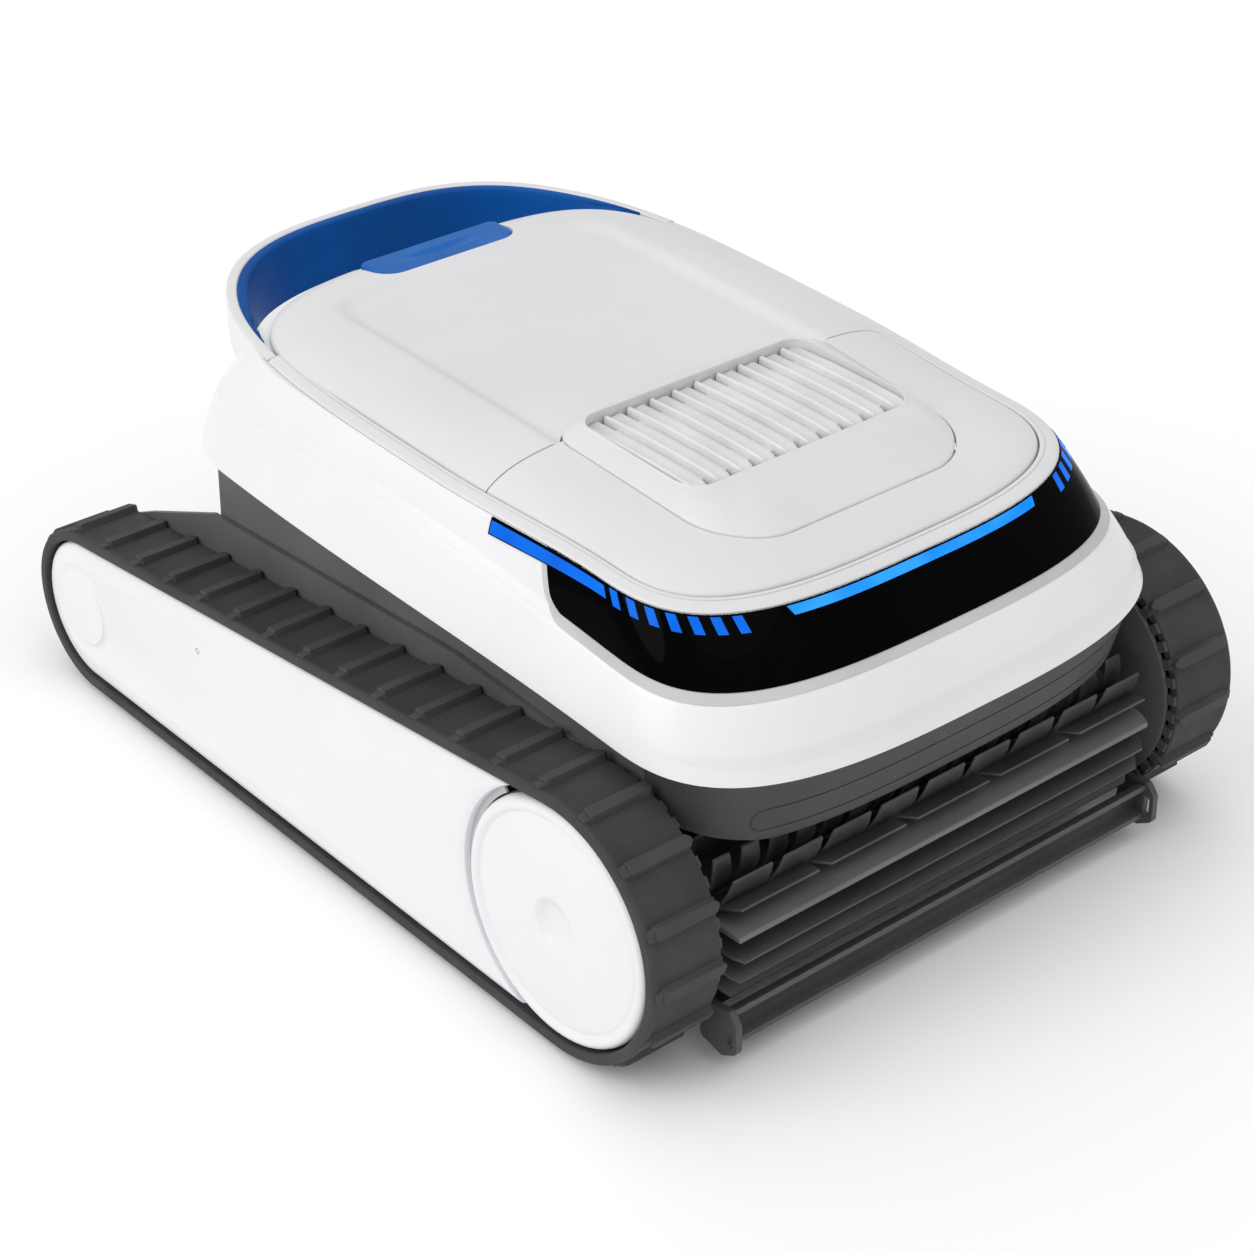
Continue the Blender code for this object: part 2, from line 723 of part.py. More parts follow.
def build_chassis(mats, parts, cutters):
    # Tub: side walls, rear wall, floor and the hood over the roller
    hood = arc((ROLLER_Y, ROLLER_Z), 57.0, 87.5, -28.0, 12)
    outer = (
        [(-190.0, 149.4)]
        + hood
        + [(-136.0, TUB_FLOOR), (TUB_REAR - 20.0, TUB_FLOOR), (TUB_REAR, TUB_FLOOR + 22.0), (TUB_REAR, 168.0)]
    )
    tub = finish("chassis_tub", prism([outer], "X", -TUB_HALF, TUB_HALF), mats["dark"], parts)
    hood_in = arc((ROLLER_Y, ROLLER_Z), 60.5, 84.0, -26.0, 12)
    inner = (
        [(-186.5, 190.0), (-186.5, 121.5)]
        + hood_in
        + [(-132.0, TUB_FLOOR + WALL), (TUB_REAR - 22.0, TUB_FLOOR + WALL)]
        + [(TUB_REAR - WALL, TUB_FLOOR + 24.0), (TUB_REAR - WALL, 190.0)]
    )
    boolean(tub, prism([inner], "X", -TUB_HALF + WALL, TUB_HALF - WALL), cutters)
    for side in (1, -1):
        boolean(tub, box((12.0 if side > 0 else -96.0, -118.0, 10.0), (96.0 if side > 0 else -12.0, -92.0, 30.0)),
                cutters)

    # Cheeks beside the roller and inner guards beside the belts are one plate a side
    for side, tag in ((1, "l"), (-1, "r")):
        plate = (
            arc((FRONT_Y, FRONT_Z), 60.6, 262.0, 100.0, 20)
            + [(-60.0, 136.0), (139.0, 123.0), (199.0, 98.0)]
            + arc((REAR_Y, REAR_Z), 42.0, 60.0, -88.0, 12)
        )
        bm = prism([plate], "X", TUB_HALF + 0.4, 149.4)
        obj = finish("track_guard_" + tag, mirrored(bm, side), mats["dark"], parts)
        boolean(obj, rod((0.0, FRONT_Y, FRONT_Z), "X", 5.6, 120.0 * side, 160.0 * side, 24), cutters)

    # Bumper: the charcoal nose between the skirt and the roller, arched underneath to clear the roller
    def bumper(inset, z):
        rise = (z - 104.0) / 34.0
        spec = (146.2 + 0.2 * rise - inset, 0.0, -236.9 - 8.5 * rise + inset, 60.0, 3.0)
        return loop_at(outline(spec, (-100.0, 20.0, 2.0)), z)

    def capped(loops):
        bm = bmesh.new()
        rows = [[bm.verts.new(p) for p in loop] for loop in loops]
        for row, after in zip(rows, rows[1:]):
            for i in range(len(row)):
                j = (i + 1) % len(row)
                bm.faces.new((row[i], row[j], after[j], after[i]))
        bm.faces.new(rows[0][::-1])
        bm.faces.new(rows[-1])
        return bm

    bm = capped([bumper(0.0, 104.0), bumper(0.0, 122.0), bumper(0.0, 141.3)])
    keep_side(bm, (0.0, -190.4, 0.0), (0.0, 1.0, 0.0))
    obj = finish("front_bumper", bm, mats["dark"], parts)
    boolean(obj, rod((0.0, ROLLER_Y, ROLLER_Z), "X", 57.0, -160.0, 160.0, 56), cutters)
    room = capped([bumper(3.5, 121.3), bumper(3.5, 160.0)])
    keep_side(room, (0.0, -193.9, 0.0), (0.0, 1.0, 0.0))
    boolean(obj, room, cutters)

    # Lip rail under the roller's front, on two end brackets
    rail = [
        (-231.5, 10.5),
        (-232.5, 24.0),
        (-236.0, 31.0),
        (-241.8, 33.2),
        (-242.6, 30.6),
        (-238.6, 28.4),
        (-235.8, 23.5),
        (-235.8, 15.0),
        (-238.2, 12.2),
        (-242.4, 11.0),
        (-242.4, 7.8),
        (-233.0, 8.4),
    ]
    obj = finish("lip_rail", prism([rail[::-1]], "X", -141.0, 141.0), mats["dark"], parts)
    for side in (1, -1):
        foot = [(-253.1, 30.0), (-252.0, 42.0), (-240.0, 46.0), (-222.0, 40.0), (-222.0, 9.0), (-243.0, 5.0),
                (-251.0, 17.0)]
        boolean(obj, prism([foot[::-1]], "X", min(140.0 * side, 145.4 * side), max(140.0 * side, 145.4 * side)),
                cutters, "UNION")


def build_roller(mats, parts, cutters):
    star = []
    for k in range(BLADES):
        root = BLADE_START + 360.0 * k / BLADES
        for angle, radius in (
            (-9.0, ROLLER_CORE),
            (-4.0, ROLLER_CORE + 1.0),
            (-2.2, ROLLER_CORE + 10.0),
            (0.6, ROLLER_R - 1.0),
            (2.8, ROLLER_R),
            (1.6, ROLLER_CORE + 10.0),
            (3.2, ROLLER_CORE + 1.0),
        ):
            turn = math.radians(root + angle)
            star.append((ROLLER_Y + radius * math.cos(turn), ROLLER_Z + radius * math.sin(turn)))
    bm = prism([star], "X", -ROLLER_HALF, ROLLER_HALF)
    obj = finish("brush_roller", bm, mats["rubber"], parts, (0.0, ROLLER_Y, ROLLER_Z))
    boolean(obj, rod((0.0, ROLLER_Y, ROLLER_Z), "X", 6.0, -145.6, 145.6, 24), cutters, "UNION")
    for side, tag in ((1, "l"), (-1, "r")):
        ring = [(6.3, 146.5), (11.0, 146.5), (11.0, 140.2), (6.3, 140.2), (6.3, 146.5)]
        turned("roller_bushing_" + tag, ring, (0.0, ROLLER_Y, ROLLER_Z), "X", mats["steel"], parts, 32, side < 0)


def build_inside(mats, parts, cutters):
    pack = prism([rounded([(-95.0, 0.0), (95.0, 0.0), (95.0, 110.0), (-95.0, 110.0)], [8.0] * 4, 3)], "Z", 24.0, 58.0)
    finish("battery_pack", pack, mats["grey"], parts)
    finish("control_box", box((-70.0, -46.0, 24.0), (70.0, -6.0, 66.0)), mats["grey"], parts)
    for side, tag in ((1, "l"), (-1, "r")):
        finish("drive_gearmotor_" + tag, mirrored(
            prism([rounded([(-112.0, 46.0), (-52.0, 46.0), (-52.0, 92.0), (-112.0, 92.0)], [10.0] * 4, 3)],
                  "X", 100.0, 142.6), side), mats["grey"], parts)
    motor = [(0.0, 188.0), (4.0, 188.0), (4.0, 176.0), (20.0, 176.0), (20.0, 112.0), (0.0, 112.0)]
    turned("pump_motor", motor, (0.0, -90.0, 0.0), "Z", mats["grey"], parts, 32)
    duct = [(44.0, 208.0), (47.0, 208.0), (47.0, 176.6), (24.0, 160.0), (21.0, 160.0), (21.0, 163.0), (44.0, 179.0),
            (44.0, 208.0)]
    turned("impeller_duct", duct, (0.0, -90.0, 0.0), "Z", mats["dark"], parts, 40)
    nose = [(0.0, 207.0), (8.0, 206.0), (12.0, 201.0), (12.0, 189.2), (0.0, 189.2)]
    obj = turned("impeller", nose, (0.0, -90.0, 0.0), "Z", mats["blue"], parts, 24)
    for k in range(3):
        bm = box((9.0, -1.2, -5.0), (41.5, 1.2, 5.0))
        bmesh.ops.rotate(bm, cent=(0.0, 0.0, 0.0), matrix=Matrix.Rotation(math.radians(38.0), 3, "X"), verts=bm.verts)
        bmesh.ops.rotate(bm, cent=(0.0, 0.0, 0.0), matrix=Matrix.Rotation(math.radians(120.0 * k), 3, "Z"),
                         verts=bm.verts)
        bmesh.ops.translate(bm, vec=(0.0, -90.0, 197.0), verts=bm.verts)
        boolean(obj, bm, cutters, "UNION")

    # Filter basket: an open-topped bin under the lid
    wall = rounded([(-96.0, -28.0), (96.0, -28.0), (96.0, 118.0), (-96.0, 118.0)], [16.0] * 4, 5)
    obj = finish("filter_basket", prism([wall], "Z", 66.5, 206.0), mats["clear"], parts)
    room = rounded([(-93.0, -25.0), (93.0, -25.0), (93.0, 115.0), (-93.0, 115.0)], [13.0] * 4, 5)
    boolean(obj, prism([room], "Z", 69.5, 220.0), cutters)

    finish("brush_gearmotor", rod((0.0, -150.0, 140.0), "X", 18.0, 60.0, 136.0, 28), mats["grey"], parts)
    plug = [(0.0, 139.6), (8.0, 139.4), (9.0, 138.0), (9.0, 136.4), (0.0, 136.4)]
    turned("charge_port_plug", plug, (60.0, 0.0, 110.0), "Y", mats["rubber"], parts, 28)


def main():
    clear_scene()
    parts = collection(NAME)
    cutters = collection(NAME + "_cutters")
    mats = {
        "white": material("white_gloss", (0.86, 0.87, 0.88), 0.22),
        "pale": material("pale_satin", (0.72, 0.72, 0.73), 0.38),
        "black": material("visor_black", (0.006, 0.006, 0.007), 0.05),
        "dark": material("charcoal", (0.055, 0.057, 0.060), 0.55),
        "rubber": material("track_rubber", (0.050, 0.051, 0.054), 0.62),
        "blue": material("handle_blue", (0.008, 0.105, 0.400), 0.40),
        "blue_glow": material("light_blue", (0.0, 0.22, 0.95), 0.30, 0.0, 2.0),
        "steel": material("pin_steel", (0.55, 0.56, 0.57), 0.30, 1.0),
        "grey": material("inner_grey", (0.18, 0.18, 0.19), 0.50),
        "clear": material("basket_smoke", (0.30, 0.33, 0.36), 0.30),
    }
    build_tracks(mats, parts, cutters)
    build_shell(mats, parts, cutters)
    build_top(mats, parts, cutters)
    build_chassis(mats, parts, cutters)
    build_roller(mats, parts, cutters)
    build_inside(mats, parts, cutters)


main()
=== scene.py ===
"""Looks for a cordless pool cleaner on two tracks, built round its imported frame.

Lengths inside the modelling functions are millimetres in the frame's own axes: the cleaner drives towards -Y,
+X is its left side and the floor is at zero. A mesh is scaled to metres once, when it becomes a piece.
"""

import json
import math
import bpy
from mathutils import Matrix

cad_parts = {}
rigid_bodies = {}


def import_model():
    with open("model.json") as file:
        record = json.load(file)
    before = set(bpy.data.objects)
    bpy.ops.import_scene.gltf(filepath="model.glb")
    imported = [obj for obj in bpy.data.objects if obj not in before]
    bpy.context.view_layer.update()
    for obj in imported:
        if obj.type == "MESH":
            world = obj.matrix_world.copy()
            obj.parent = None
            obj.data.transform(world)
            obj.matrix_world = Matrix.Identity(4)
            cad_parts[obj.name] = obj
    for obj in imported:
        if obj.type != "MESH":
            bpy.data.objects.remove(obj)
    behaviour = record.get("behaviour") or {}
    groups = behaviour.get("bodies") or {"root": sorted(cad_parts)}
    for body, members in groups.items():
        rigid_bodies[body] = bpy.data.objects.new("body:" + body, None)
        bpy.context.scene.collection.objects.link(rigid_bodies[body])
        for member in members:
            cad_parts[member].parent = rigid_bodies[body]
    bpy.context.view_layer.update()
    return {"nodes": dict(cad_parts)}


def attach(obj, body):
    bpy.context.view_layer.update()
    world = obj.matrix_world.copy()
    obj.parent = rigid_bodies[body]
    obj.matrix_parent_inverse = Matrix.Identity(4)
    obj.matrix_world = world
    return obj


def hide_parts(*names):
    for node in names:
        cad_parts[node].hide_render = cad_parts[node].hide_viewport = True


bl_info = {
    "name": "Pool Cleaner Looks",
    "version": (1, 0, 0),
    "blender": (4, 5, 0),
    "location": "3D View > Sidebar > Cleaner",
    "description": "Builds the visible pieces of a tracked pool cleaner round its packed frame",
    "category": "Mesh",
}

import bmesh
import bpy
from mathutils import Matrix, Vector

for leftover in list(bpy.data.objects):
    bpy.data.objects.remove(leftover, do_unlink=True)
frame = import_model()

MM = 0.001
GAP = 0.4

# Tracks
FRONT = (-180.0, 69.9)
REAR = (204.3, 48.8)
FRONT_R = 66.4
REAR_R = 45.3
BELT_T = 5.0
LUG_COUNT = 38
GROOVE_R = 64.8

# Outlines: half width at the front, gain towards the rear, front y, depth of the front curve, its power and
# the run of the gain
SKIRT_LOW = (155.0, 9.0, -251.7, 80.0, 3.0, 260.0)
SKIRT_TOP = (143.0, 9.0, -232.6, 73.0, 3.1, 260.0)
VISOR_LOW = (139.0, 8.5, -228.2, 71.0, 3.1, 260.0)
RIM_OUT = (131.0, 5.8, -205.8, 70.0, 3.1, 110.0)
# Rear ends: rear y, depth of the rear curve, power
SHELL_END = (160.0, 66.0, 3.6)
BAND_END = (164.0, 104.0, 3.3)
HANDLE_END = (224.0, 224.0, 3.0)
LID_END = (160.0, 100.0, 3.4)
RIM_W = 8.4
HANDLE_START = 108.0
SEAM_Y = -56.0
RIM_RISE = 2.2
SHELL_BULGE = 3.6
SKIRT_BULGE = 4.8

# Visor: rear end, and rough heights of the step under it, painted grey as shade, and of the visor itself
VISOR_END = -111.0
STEP_RISE = 5.1
VISOR_RISE = 24.0
LAMP_LIFT = 1.05
NOSE_DEPTH = 60.0

# Brush roller
ROLLER = (-192.5, 60.5)
ROLLER_R = 49.5
ROLLER_HALF = 139.6
ROLLER_END = 3.0
BLADE_ROOT = 24.0
BLADES = 24
BLADE_START = 4.0


def linear(code):
    """Linear colour with alpha from an sRGB hex value."""
    parts = [int(code[k : k + 2], 16) / 255.0 for k in (1, 3, 5)]
    return tuple(v / 12.92 if v <= 0.04045 else ((v + 0.055) / 1.055) ** 2.4 for v in parts) + (1.0,)


def smooth_step(value):
    value = max(0.0, min(1.0, value))
    return value * value * (3.0 - 2.0 * value)


def mix(a, b, share):
    return tuple(p + (q - p) * share for p, q in zip(a, b))


# ---------------------------------------------------------------- shape of the shell


def rim_height(y):
    """Outer edge of the top rim: it dips at the front and rises slowly to the rear."""
    dip = max(0.0, -136.0 - y) / 70.0
    return 207.0 + 0.028 * (y + 136.0) - 4.4 * dip**1.5 + 0.00005 * max(0.0, y) ** 2


def middle_height(y):
    """Crest of the deck and the lid."""
    along = y + 180.0
    return 212.2 + 0.101 * along - 0.000105 * along * along - 0.036 * max(0.0, y + 56.0)


def half_width(spec, y):
    side, gain, front, depth, power, run = spec
    return side + gain * smooth_step((y - front - depth) / run)


def outline(spec, end, inset=0.0, rear_inset=None, steps=(44, 40, 40)):
    """Closed loop of (x, y) from the front middle round +X: rounded front, widening sides, rounded rear."""
    side, gain, front, depth, power, run = spec
    rear, rear_depth, rear_power = end
    rear_inset = inset if rear_inset is None else rear_inset
    points = []
    for i in range(steps[0] + 1):
        turn = math.radians(90.0 * i / steps[0])
        y = front + depth - (depth - inset) * math.cos(turn) ** (2.0 / power)
        points.append(((side - inset) * math.sin(turn) ** (2.0 / power), y))
    y0, y1 = front + depth, rear - rear_depth
    for i in range(1, steps[1]):
        y = y0 + (y1 - y0) * i / steps[1]
        points.append((half_width(spec, y) - inset, y))
    wide = half_width(spec, y1) - inset
    for i in range(steps[2] + 1):
        turn = math.radians(90.0 * i / steps[2])
        reach = max(0.0, math.cos(turn)) ** (2.0 / rear_power)
        points.append((wide * reach, y1 + (rear_depth - rear_inset) * math.sin(turn) ** (2.0 / rear_power)))
    points[-1] = (0.0, points[-1][1])
    return points + [(-x, y) for x, y in points[-2:0:-1]]


def outward(spec, end):
    """Direction away from the middle at each point of an outline."""
    return [(Vector(a) - Vector(b)).normalized().to_tuple()
            for a, b in zip(outline(spec, end), outline(spec, end, 2.0))]


def at_height(points, height):
    return [(x, y, height(y) if callable(height) else height) for x, y in points]


def low_edge(y):
    return 142.0 + 20.0 * (y + 251.7) / 300.0


def crease(y):
    return 173.0 + 22.0 * smooth_step((y + 232.6) / 260.0)


def step_height(y):
    return crease(y) + 3.2


def band_top(y):
    return rim_height(y) - GAP


CREASE_LOOP = at_height(outline(SKIRT_TOP, SHELL_END), crease)
STEP_LOOP = at_height(outline(VISOR_LOW, SHELL_END), step_height)
RIM_LOOP = at_height(outline(RIM_OUT, BAND_END), band_top)
OUTWARD = outward(VISOR_LOW, SHELL_END)
HALF_COUNT = len(RIM_LOOP) // 2
RIM_RUN = [0.0]
for before, after in zip(RIM_LOOP[:HALF_COUNT], RIM_LOOP[1 : HALF_COUNT + 1]):
    RIM_RUN.append(RIM_RUN[-1] + math.dist(before, after))


def shell_place(i, height, lift=0.0):
    """Place on the shell at one of the rim's points, with the same heights as on_shell."""
    if height < 0.0:
        x, y, z = mix(CREASE_LOOP[i], STEP_LOOP[i], height + 1.0)
    else:
        x, y, z = mix(STEP_LOOP[i], RIM_LOOP[i], height)
    push = lift + SHELL_BULGE * max(0.0, height) * (1.0 - max(0.0, height))
    return (x + OUTWARD[i][0] * push, y + OUTWARD[i][1] * push, z)


def run_at(reached):
    """Distance along the rim from the front middle to the first place where the test holds."""
    return next(run for run, place in zip(RIM_RUN, RIM_LOOP) if reached(place))


def on_shell(run, height, lift=0.0):
    """Place on the shell: run is the distance round the rim, + towards the left side. Height is -1 at the
    crease, 0 at the foot of the visor and 1 at the rim."""
    length = min(abs(run), RIM_RUN[-1] - 0.001)
    k = next(i for i in range(HALF_COUNT) if RIM_RUN[i + 1] > length)
    share = (length - RIM_RUN[k]) / (RIM_RUN[k + 1] - RIM_RUN[k])
    x, y, z = mix(shell_place(k, height, lift), shell_place(k + 1, height, lift), share)
    return Vector((math.copysign(x, run) if run else 0.0, y, z))


def slope_length(run):
    return (on_shell(run, 1.0) - on_shell(run, 0.0)).length


def crown_height(x, y):
    """Top surface of the deck and the lid: a soft roll up from the rim to a nearly flat middle."""
    side, gain, front, depth, power, run = RIM_OUT
    edge = RIM_W + 0.5
    wide = half_width(RIM_OUT, y) - edge
    ahead = (front + depth - y) / (depth - edge)
    if ahead > 0.0:
        wide *= max(0.0, 1.0 - min(1.0, ahead) ** power) ** (1.0 / power)
    rear, rear_depth, rear_power = LID_END
    behind = (y - rear + rear_depth) / rear_depth
    if behind > 0.0:
        wide *= max(0.0, 1.0 - min(1.0, behind) ** rear_power) ** (1.0 / rear_power)
    rise = 1.0
    for near in (wide - abs(x), (y - front - edge) * 1.1, (rear - y) * 1.6):
        rise *= 1.0 - math.exp(-max(0.0, near) / 15.0)
    foot = rim_height(y) + RIM_RISE
    return foot + (middle_height(y) - foot) * rise


def recess_depth(x, y):
    """Shallow panel in the middle of the lid, with rounded rear corners and a soft slope all round."""
    radius = 24.0
    across = abs(x) - 88.0 + radius
    along = y - 128.0 + radius
    distance = math.hypot(max(0.0, across), max(0.0, along)) + min(0.0, max(across, along)) - radius
    return 3.0 * smooth_step(-distance / 9.0)


def rounded(corners, radii, steps=5):
    """Polygon with rounded corners; a corner on a straight line gives evenly spaced points."""
    found = []
    count = len(corners)
    for k, (corner, radius) in enumerate(zip(corners, radii)):
        here = Vector(corner)
        before = (Vector(corners[k - 1]) - here).normalized()
        after = (Vector(corners[(k + 1) % count]) - here).normalized()
        angle = before.angle(after)
        if angle > math.pi - 0.01:
            found += [tuple(here + before * radius * (1.0 - 2.0 * i / steps)) for i in range(steps + 1)]
            continue
        reach = radius / math.tan(angle / 2.0)
        middle = here + (before + after).normalized() * (radius / math.sin(angle / 2.0))
        first = here + before * reach - middle
        sweep = first.angle_signed(here + after * reach - middle)
        for i in range(steps + 1):
            turned_by = Matrix.Rotation(-sweep * i / steps, 2)
            found.append(tuple(middle + turned_by @ first))
    return found


def bezel_outline(grow, steps=9):
    """Plan of the grille bezel: narrow at the front, widest a little behind, bowed at the rear."""
    corners = [
        (58.0 + grow, -171.0 - grow),
        (79.5 + grow, -150.0 - 0.4 * grow),
        (83.0 + grow, -50.0 + grow),
        (0.0, -37.0 + grow),
        (-83.0 - grow, -50.0 + grow),
        (-79.5 - grow, -150.0 - 0.4 * grow),
        (-58.0 - grow, -171.0 - grow),
    ]
    return rounded(corners, [34.0, 34.0, 14.0, 300.0, 14.0, 34.0, 34.0], steps)


def tangent_angle():
    """Direction of the normal of the belt's upper run, in degrees from +Y."""
    run, drop = REAR[0] - FRONT[0], FRONT[1] - REAR[1]
    return 90.0 - math.degrees(math.atan2(drop, run) + math.asin((FRONT_R - REAR_R) / math.hypot(run, drop)))


def arc(centre, radius, start, end, steps):
    found = []
    for i in range(steps + 1):
        turn = math.radians(start + (end - start) * i / steps)
        found.append((centre[0] + radius * math.cos(turn), centre[1] + radius * math.sin(turn)))
    return found


def belt_stations():
    """(y, z, outward y, outward z, distance) round the belt's outer face, forwards along the floor first."""
    rows = []
    top = tangent_angle()
    for centre, radius, start, end in ((FRONT, FRONT_R, 270.0, top), (REAR, REAR_R, top, -90.0)):
        for y, z in arc((0.0, 0.0), 1.0, start, end, 48):
            rows.append((centre[0] + radius * y, centre[1] + radius * z, y, z))
    rows.append(rows[0])
    path = [(*rows[0], 0.0)]
    for before, after in zip(rows, rows[1:]):
        path.append((*after, path[-1][4] + math.dist(before[:2], after[:2])))
    return path


BELT_PATH = belt_stations()
BELT_LENGTH = BELT_PATH[-1][4]


def on_belt(distance):
    distance %= BELT_LENGTH
    for before, after in zip(BELT_PATH, BELT_PATH[1:]):
        if before[4] <= distance <= after[4] and after[4] > before[4]:
            return mix(before[:4], after[:4], (distance - before[4]) / (after[4] - before[4]))
    return BELT_PATH[0][:4]


# ---------------------------------------------------------------- mesh tools


def hoop(rows, wrap=False, caps=False):
    """Skin through rows of places: a circle is laid on the first row and extruded from row to row."""
    bm = bmesh.new()
    ring = bmesh.ops.create_circle(bm, cap_ends=False, segments=len(rows[0]), radius=1.0)["verts"]
    spot = {vert: k for k, vert in enumerate(ring)}
    for vert, place in zip(ring, rows[0]):
        vert.co = place
    edges = list(bm.edges)
    ends = [edges]
    for row in rows[1:] + (rows[:1] if wrap else []):
        made = bmesh.ops.extrude_edge_only(bm, edges=edges)["geom"]
        fresh = {}
        for vert in (g for g in made if isinstance(g, bmesh.types.BMVert)):
            beside = (edge.other_vert(vert) for edge in vert.link_edges)
            fresh[vert] = next(spot[old] for old in beside if old in spot)
        for vert, k in fresh.items():
            vert.co = row[k]
        edges = [g for g in made if isinstance(g, bmesh.types.BMEdge) and set(g.verts) <= fresh.keys()]
        spot = fresh
    ends.append(edges)
    if wrap:
        bmesh.ops.remove_doubles(bm, verts=bm.verts, dist=0.0005)
    elif caps:
        for rim in ends:
            bmesh.ops.edgeloop_fill(bm, edges=rim)
    return bm


def slab(place, across, along, depth):
    """Closed sheet laid on a surface by place(u, v, lift), with its back at minus the depth."""
    bm = bmesh.new()
    bmesh.ops.create_grid(bm, x_segments=across, y_segments=along, size=0.5)
    made = bmesh.ops.extrude_face_region(bm, geom=bm.faces[:])["geom"]
    back = {g for g in made if isinstance(g, bmesh.types.BMVert)}
    for vert in bm.verts:
        u, v = vert.co.x + 0.5, vert.co.y + 0.5
        vert.co = place(u, v, -depth if vert in back else 0.0)
    return bm


def bar(section, low, high, axis="Z"):
    """Outline drawn out along X or Z and closed at both ends."""
    rows = [[(c, a, b) if axis == "X" else (a, b, c) for a, b in section] for c in (low, high)]
    return hoop(rows, caps=True)


def spun(profile, steps, centre, flip=False):
    """Profile of (radius, distance along X) spun a full turn about an axle."""
    bm = bmesh.new()
    line = [bm.verts.new((distance, radius, 0.0)) for radius, distance in profile]
    edges = [bm.edges.new(pair) for pair in zip(line, line[1:])]
    bmesh.ops.spin(bm, geom=line + edges, cent=(0.0, 0.0, 0.0), axis=(1.0, 0.0, 0.0), angle=math.tau,
                   steps=steps, use_merge=True)
    bmesh.ops.remove_doubles(bm, verts=bm.verts, dist=0.0005)
    if flip:
        bmesh.ops.scale(bm, vec=(-1.0, 1.0, 1.0), verts=bm.verts)
    bmesh.ops.translate(bm, vec=centre, verts=bm.verts)
    return bm


def cut_plane(bm, point, normal):
    """Drops what lies on the normal's side of a plane and closes the cut."""
    bmesh.ops.bisect_plane(bm, geom=bm.verts[:] + bm.edges[:] + bm.faces[:], dist=0.0001, plane_co=point,
                           plane_no=normal, clear_outer=True)
    bmesh.ops.edgeloop_fill(bm, edges=[e for e in bm.edges if e.is_boundary])
    return bm


def joined(meshes):
    """Several bmeshes as one, without merging them."""
    whole = bmesh.new()
    for bm in meshes:
        bmesh.ops.recalc_face_normals(bm, faces=bm.faces)
        mesh = bpy.data.meshes.new("part")
        bm.to_mesh(mesh)
        bm.free()
        whole.from_mesh(mesh)
        bpy.data.meshes.remove(mesh)
    return whole


def carved(bm, *tools):
    """Cuts each tool out in turn."""
    objects = []
    for k, part in enumerate((bm, *tools)):
        bmesh.ops.recalc_face_normals(part, faces=part.faces)
        mesh = bpy.data.meshes.new("carve")
        part.to_mesh(mesh)
        part.free()
        objects.append(bpy.data.objects.new("carve", mesh))
        bpy.context.scene.collection.objects.link(objects[-1])
    for tool in objects[1:]:
        step = objects[0].modifiers.new("carve", "BOOLEAN")
        step.operation = "DIFFERENCE"
        step.solver = "EXACT"
        step.object = tool
    graph = bpy.context.evaluated_depsgraph_get()
    result = bpy.data.meshes.new_from_object(objects[0].evaluated_get(graph))
    out = bmesh.new()
    out.from_mesh(result)
    for thing in objects:
        mesh = thing.data
        bpy.data.objects.remove(thing, do_unlink=True)
        bpy.data.meshes.remove(mesh)
    bpy.data.meshes.remove(result)
    return out


def sided(bm, side):
    """The left side's mesh, or its mirror image for the right."""
    if side < 0:
        bmesh.ops.scale(bm, vec=(-1.0, 1.0, 1.0), verts=bm.verts)
    return bm


def piece(name, bm, finish, body="chassis", stands_for=(), sharp=32.0, edge=0.0):
    """Makes a millimetre mesh an object at the origin, with its finish, riding on its body."""
    bmesh.ops.scale(bm, vec=(MM, MM, MM), verts=bm.verts)
    bmesh.ops.recalc_face_normals(bm, faces=bm.faces)
    if bm.calc_volume(signed=True) < 0.0:
        bmesh.ops.reverse_faces(bm, faces=bm.faces)
    mesh = bpy.data.meshes.new(name)
    bm.to_mesh(mesh)
    bm.free()
    mesh.shade_smooth()
    mesh.set_sharp_from_angle(angle=math.radians(sharp))
    mesh.materials.append(finish)
    obj = bpy.data.objects.new(name, mesh)
    bpy.context.scene.collection.objects.link(obj)
    if edge:
        bevel = obj.modifiers.new("edge", "BEVEL")
        bevel.width = edge * MM
        bevel.segments = 2
        bevel.limit_method = "ANGLE"
        bevel.angle_limit = math.radians(40.0)
        bevel.harden_normals = True
    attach(obj, body)
    if stands_for:
        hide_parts(*stands_for)
    return obj


# ---------------------------------------------------------------- finishes


def add_node(tree, kind, sockets=None, **settings):
    """Adds a node; settings are its properties, sockets its inputs by name or index, as values or links."""
    made = tree.nodes.new(kind)
    for key, value in settings.items():
        setattr(made, key, value)
    for key, value in (sockets or {}).items():
        if isinstance(value, bpy.types.NodeSocket):
            tree.links.new(value, made.inputs[key])
        else:
            made.inputs[key].default_value = value
    return made


def new_material(name, **sockets):
    """Material, its tree and its shader, with what is the same all over set on the shader's own sockets."""
    mat = bpy.data.materials.new(name)
    mat.use_nodes = True
    shader = mat.node_tree.nodes["Principled BSDF"]
    for key, value in sockets.items():
        shader.inputs[key.replace("_", " ")].default_value = value
    return mat, mat.node_tree, shader


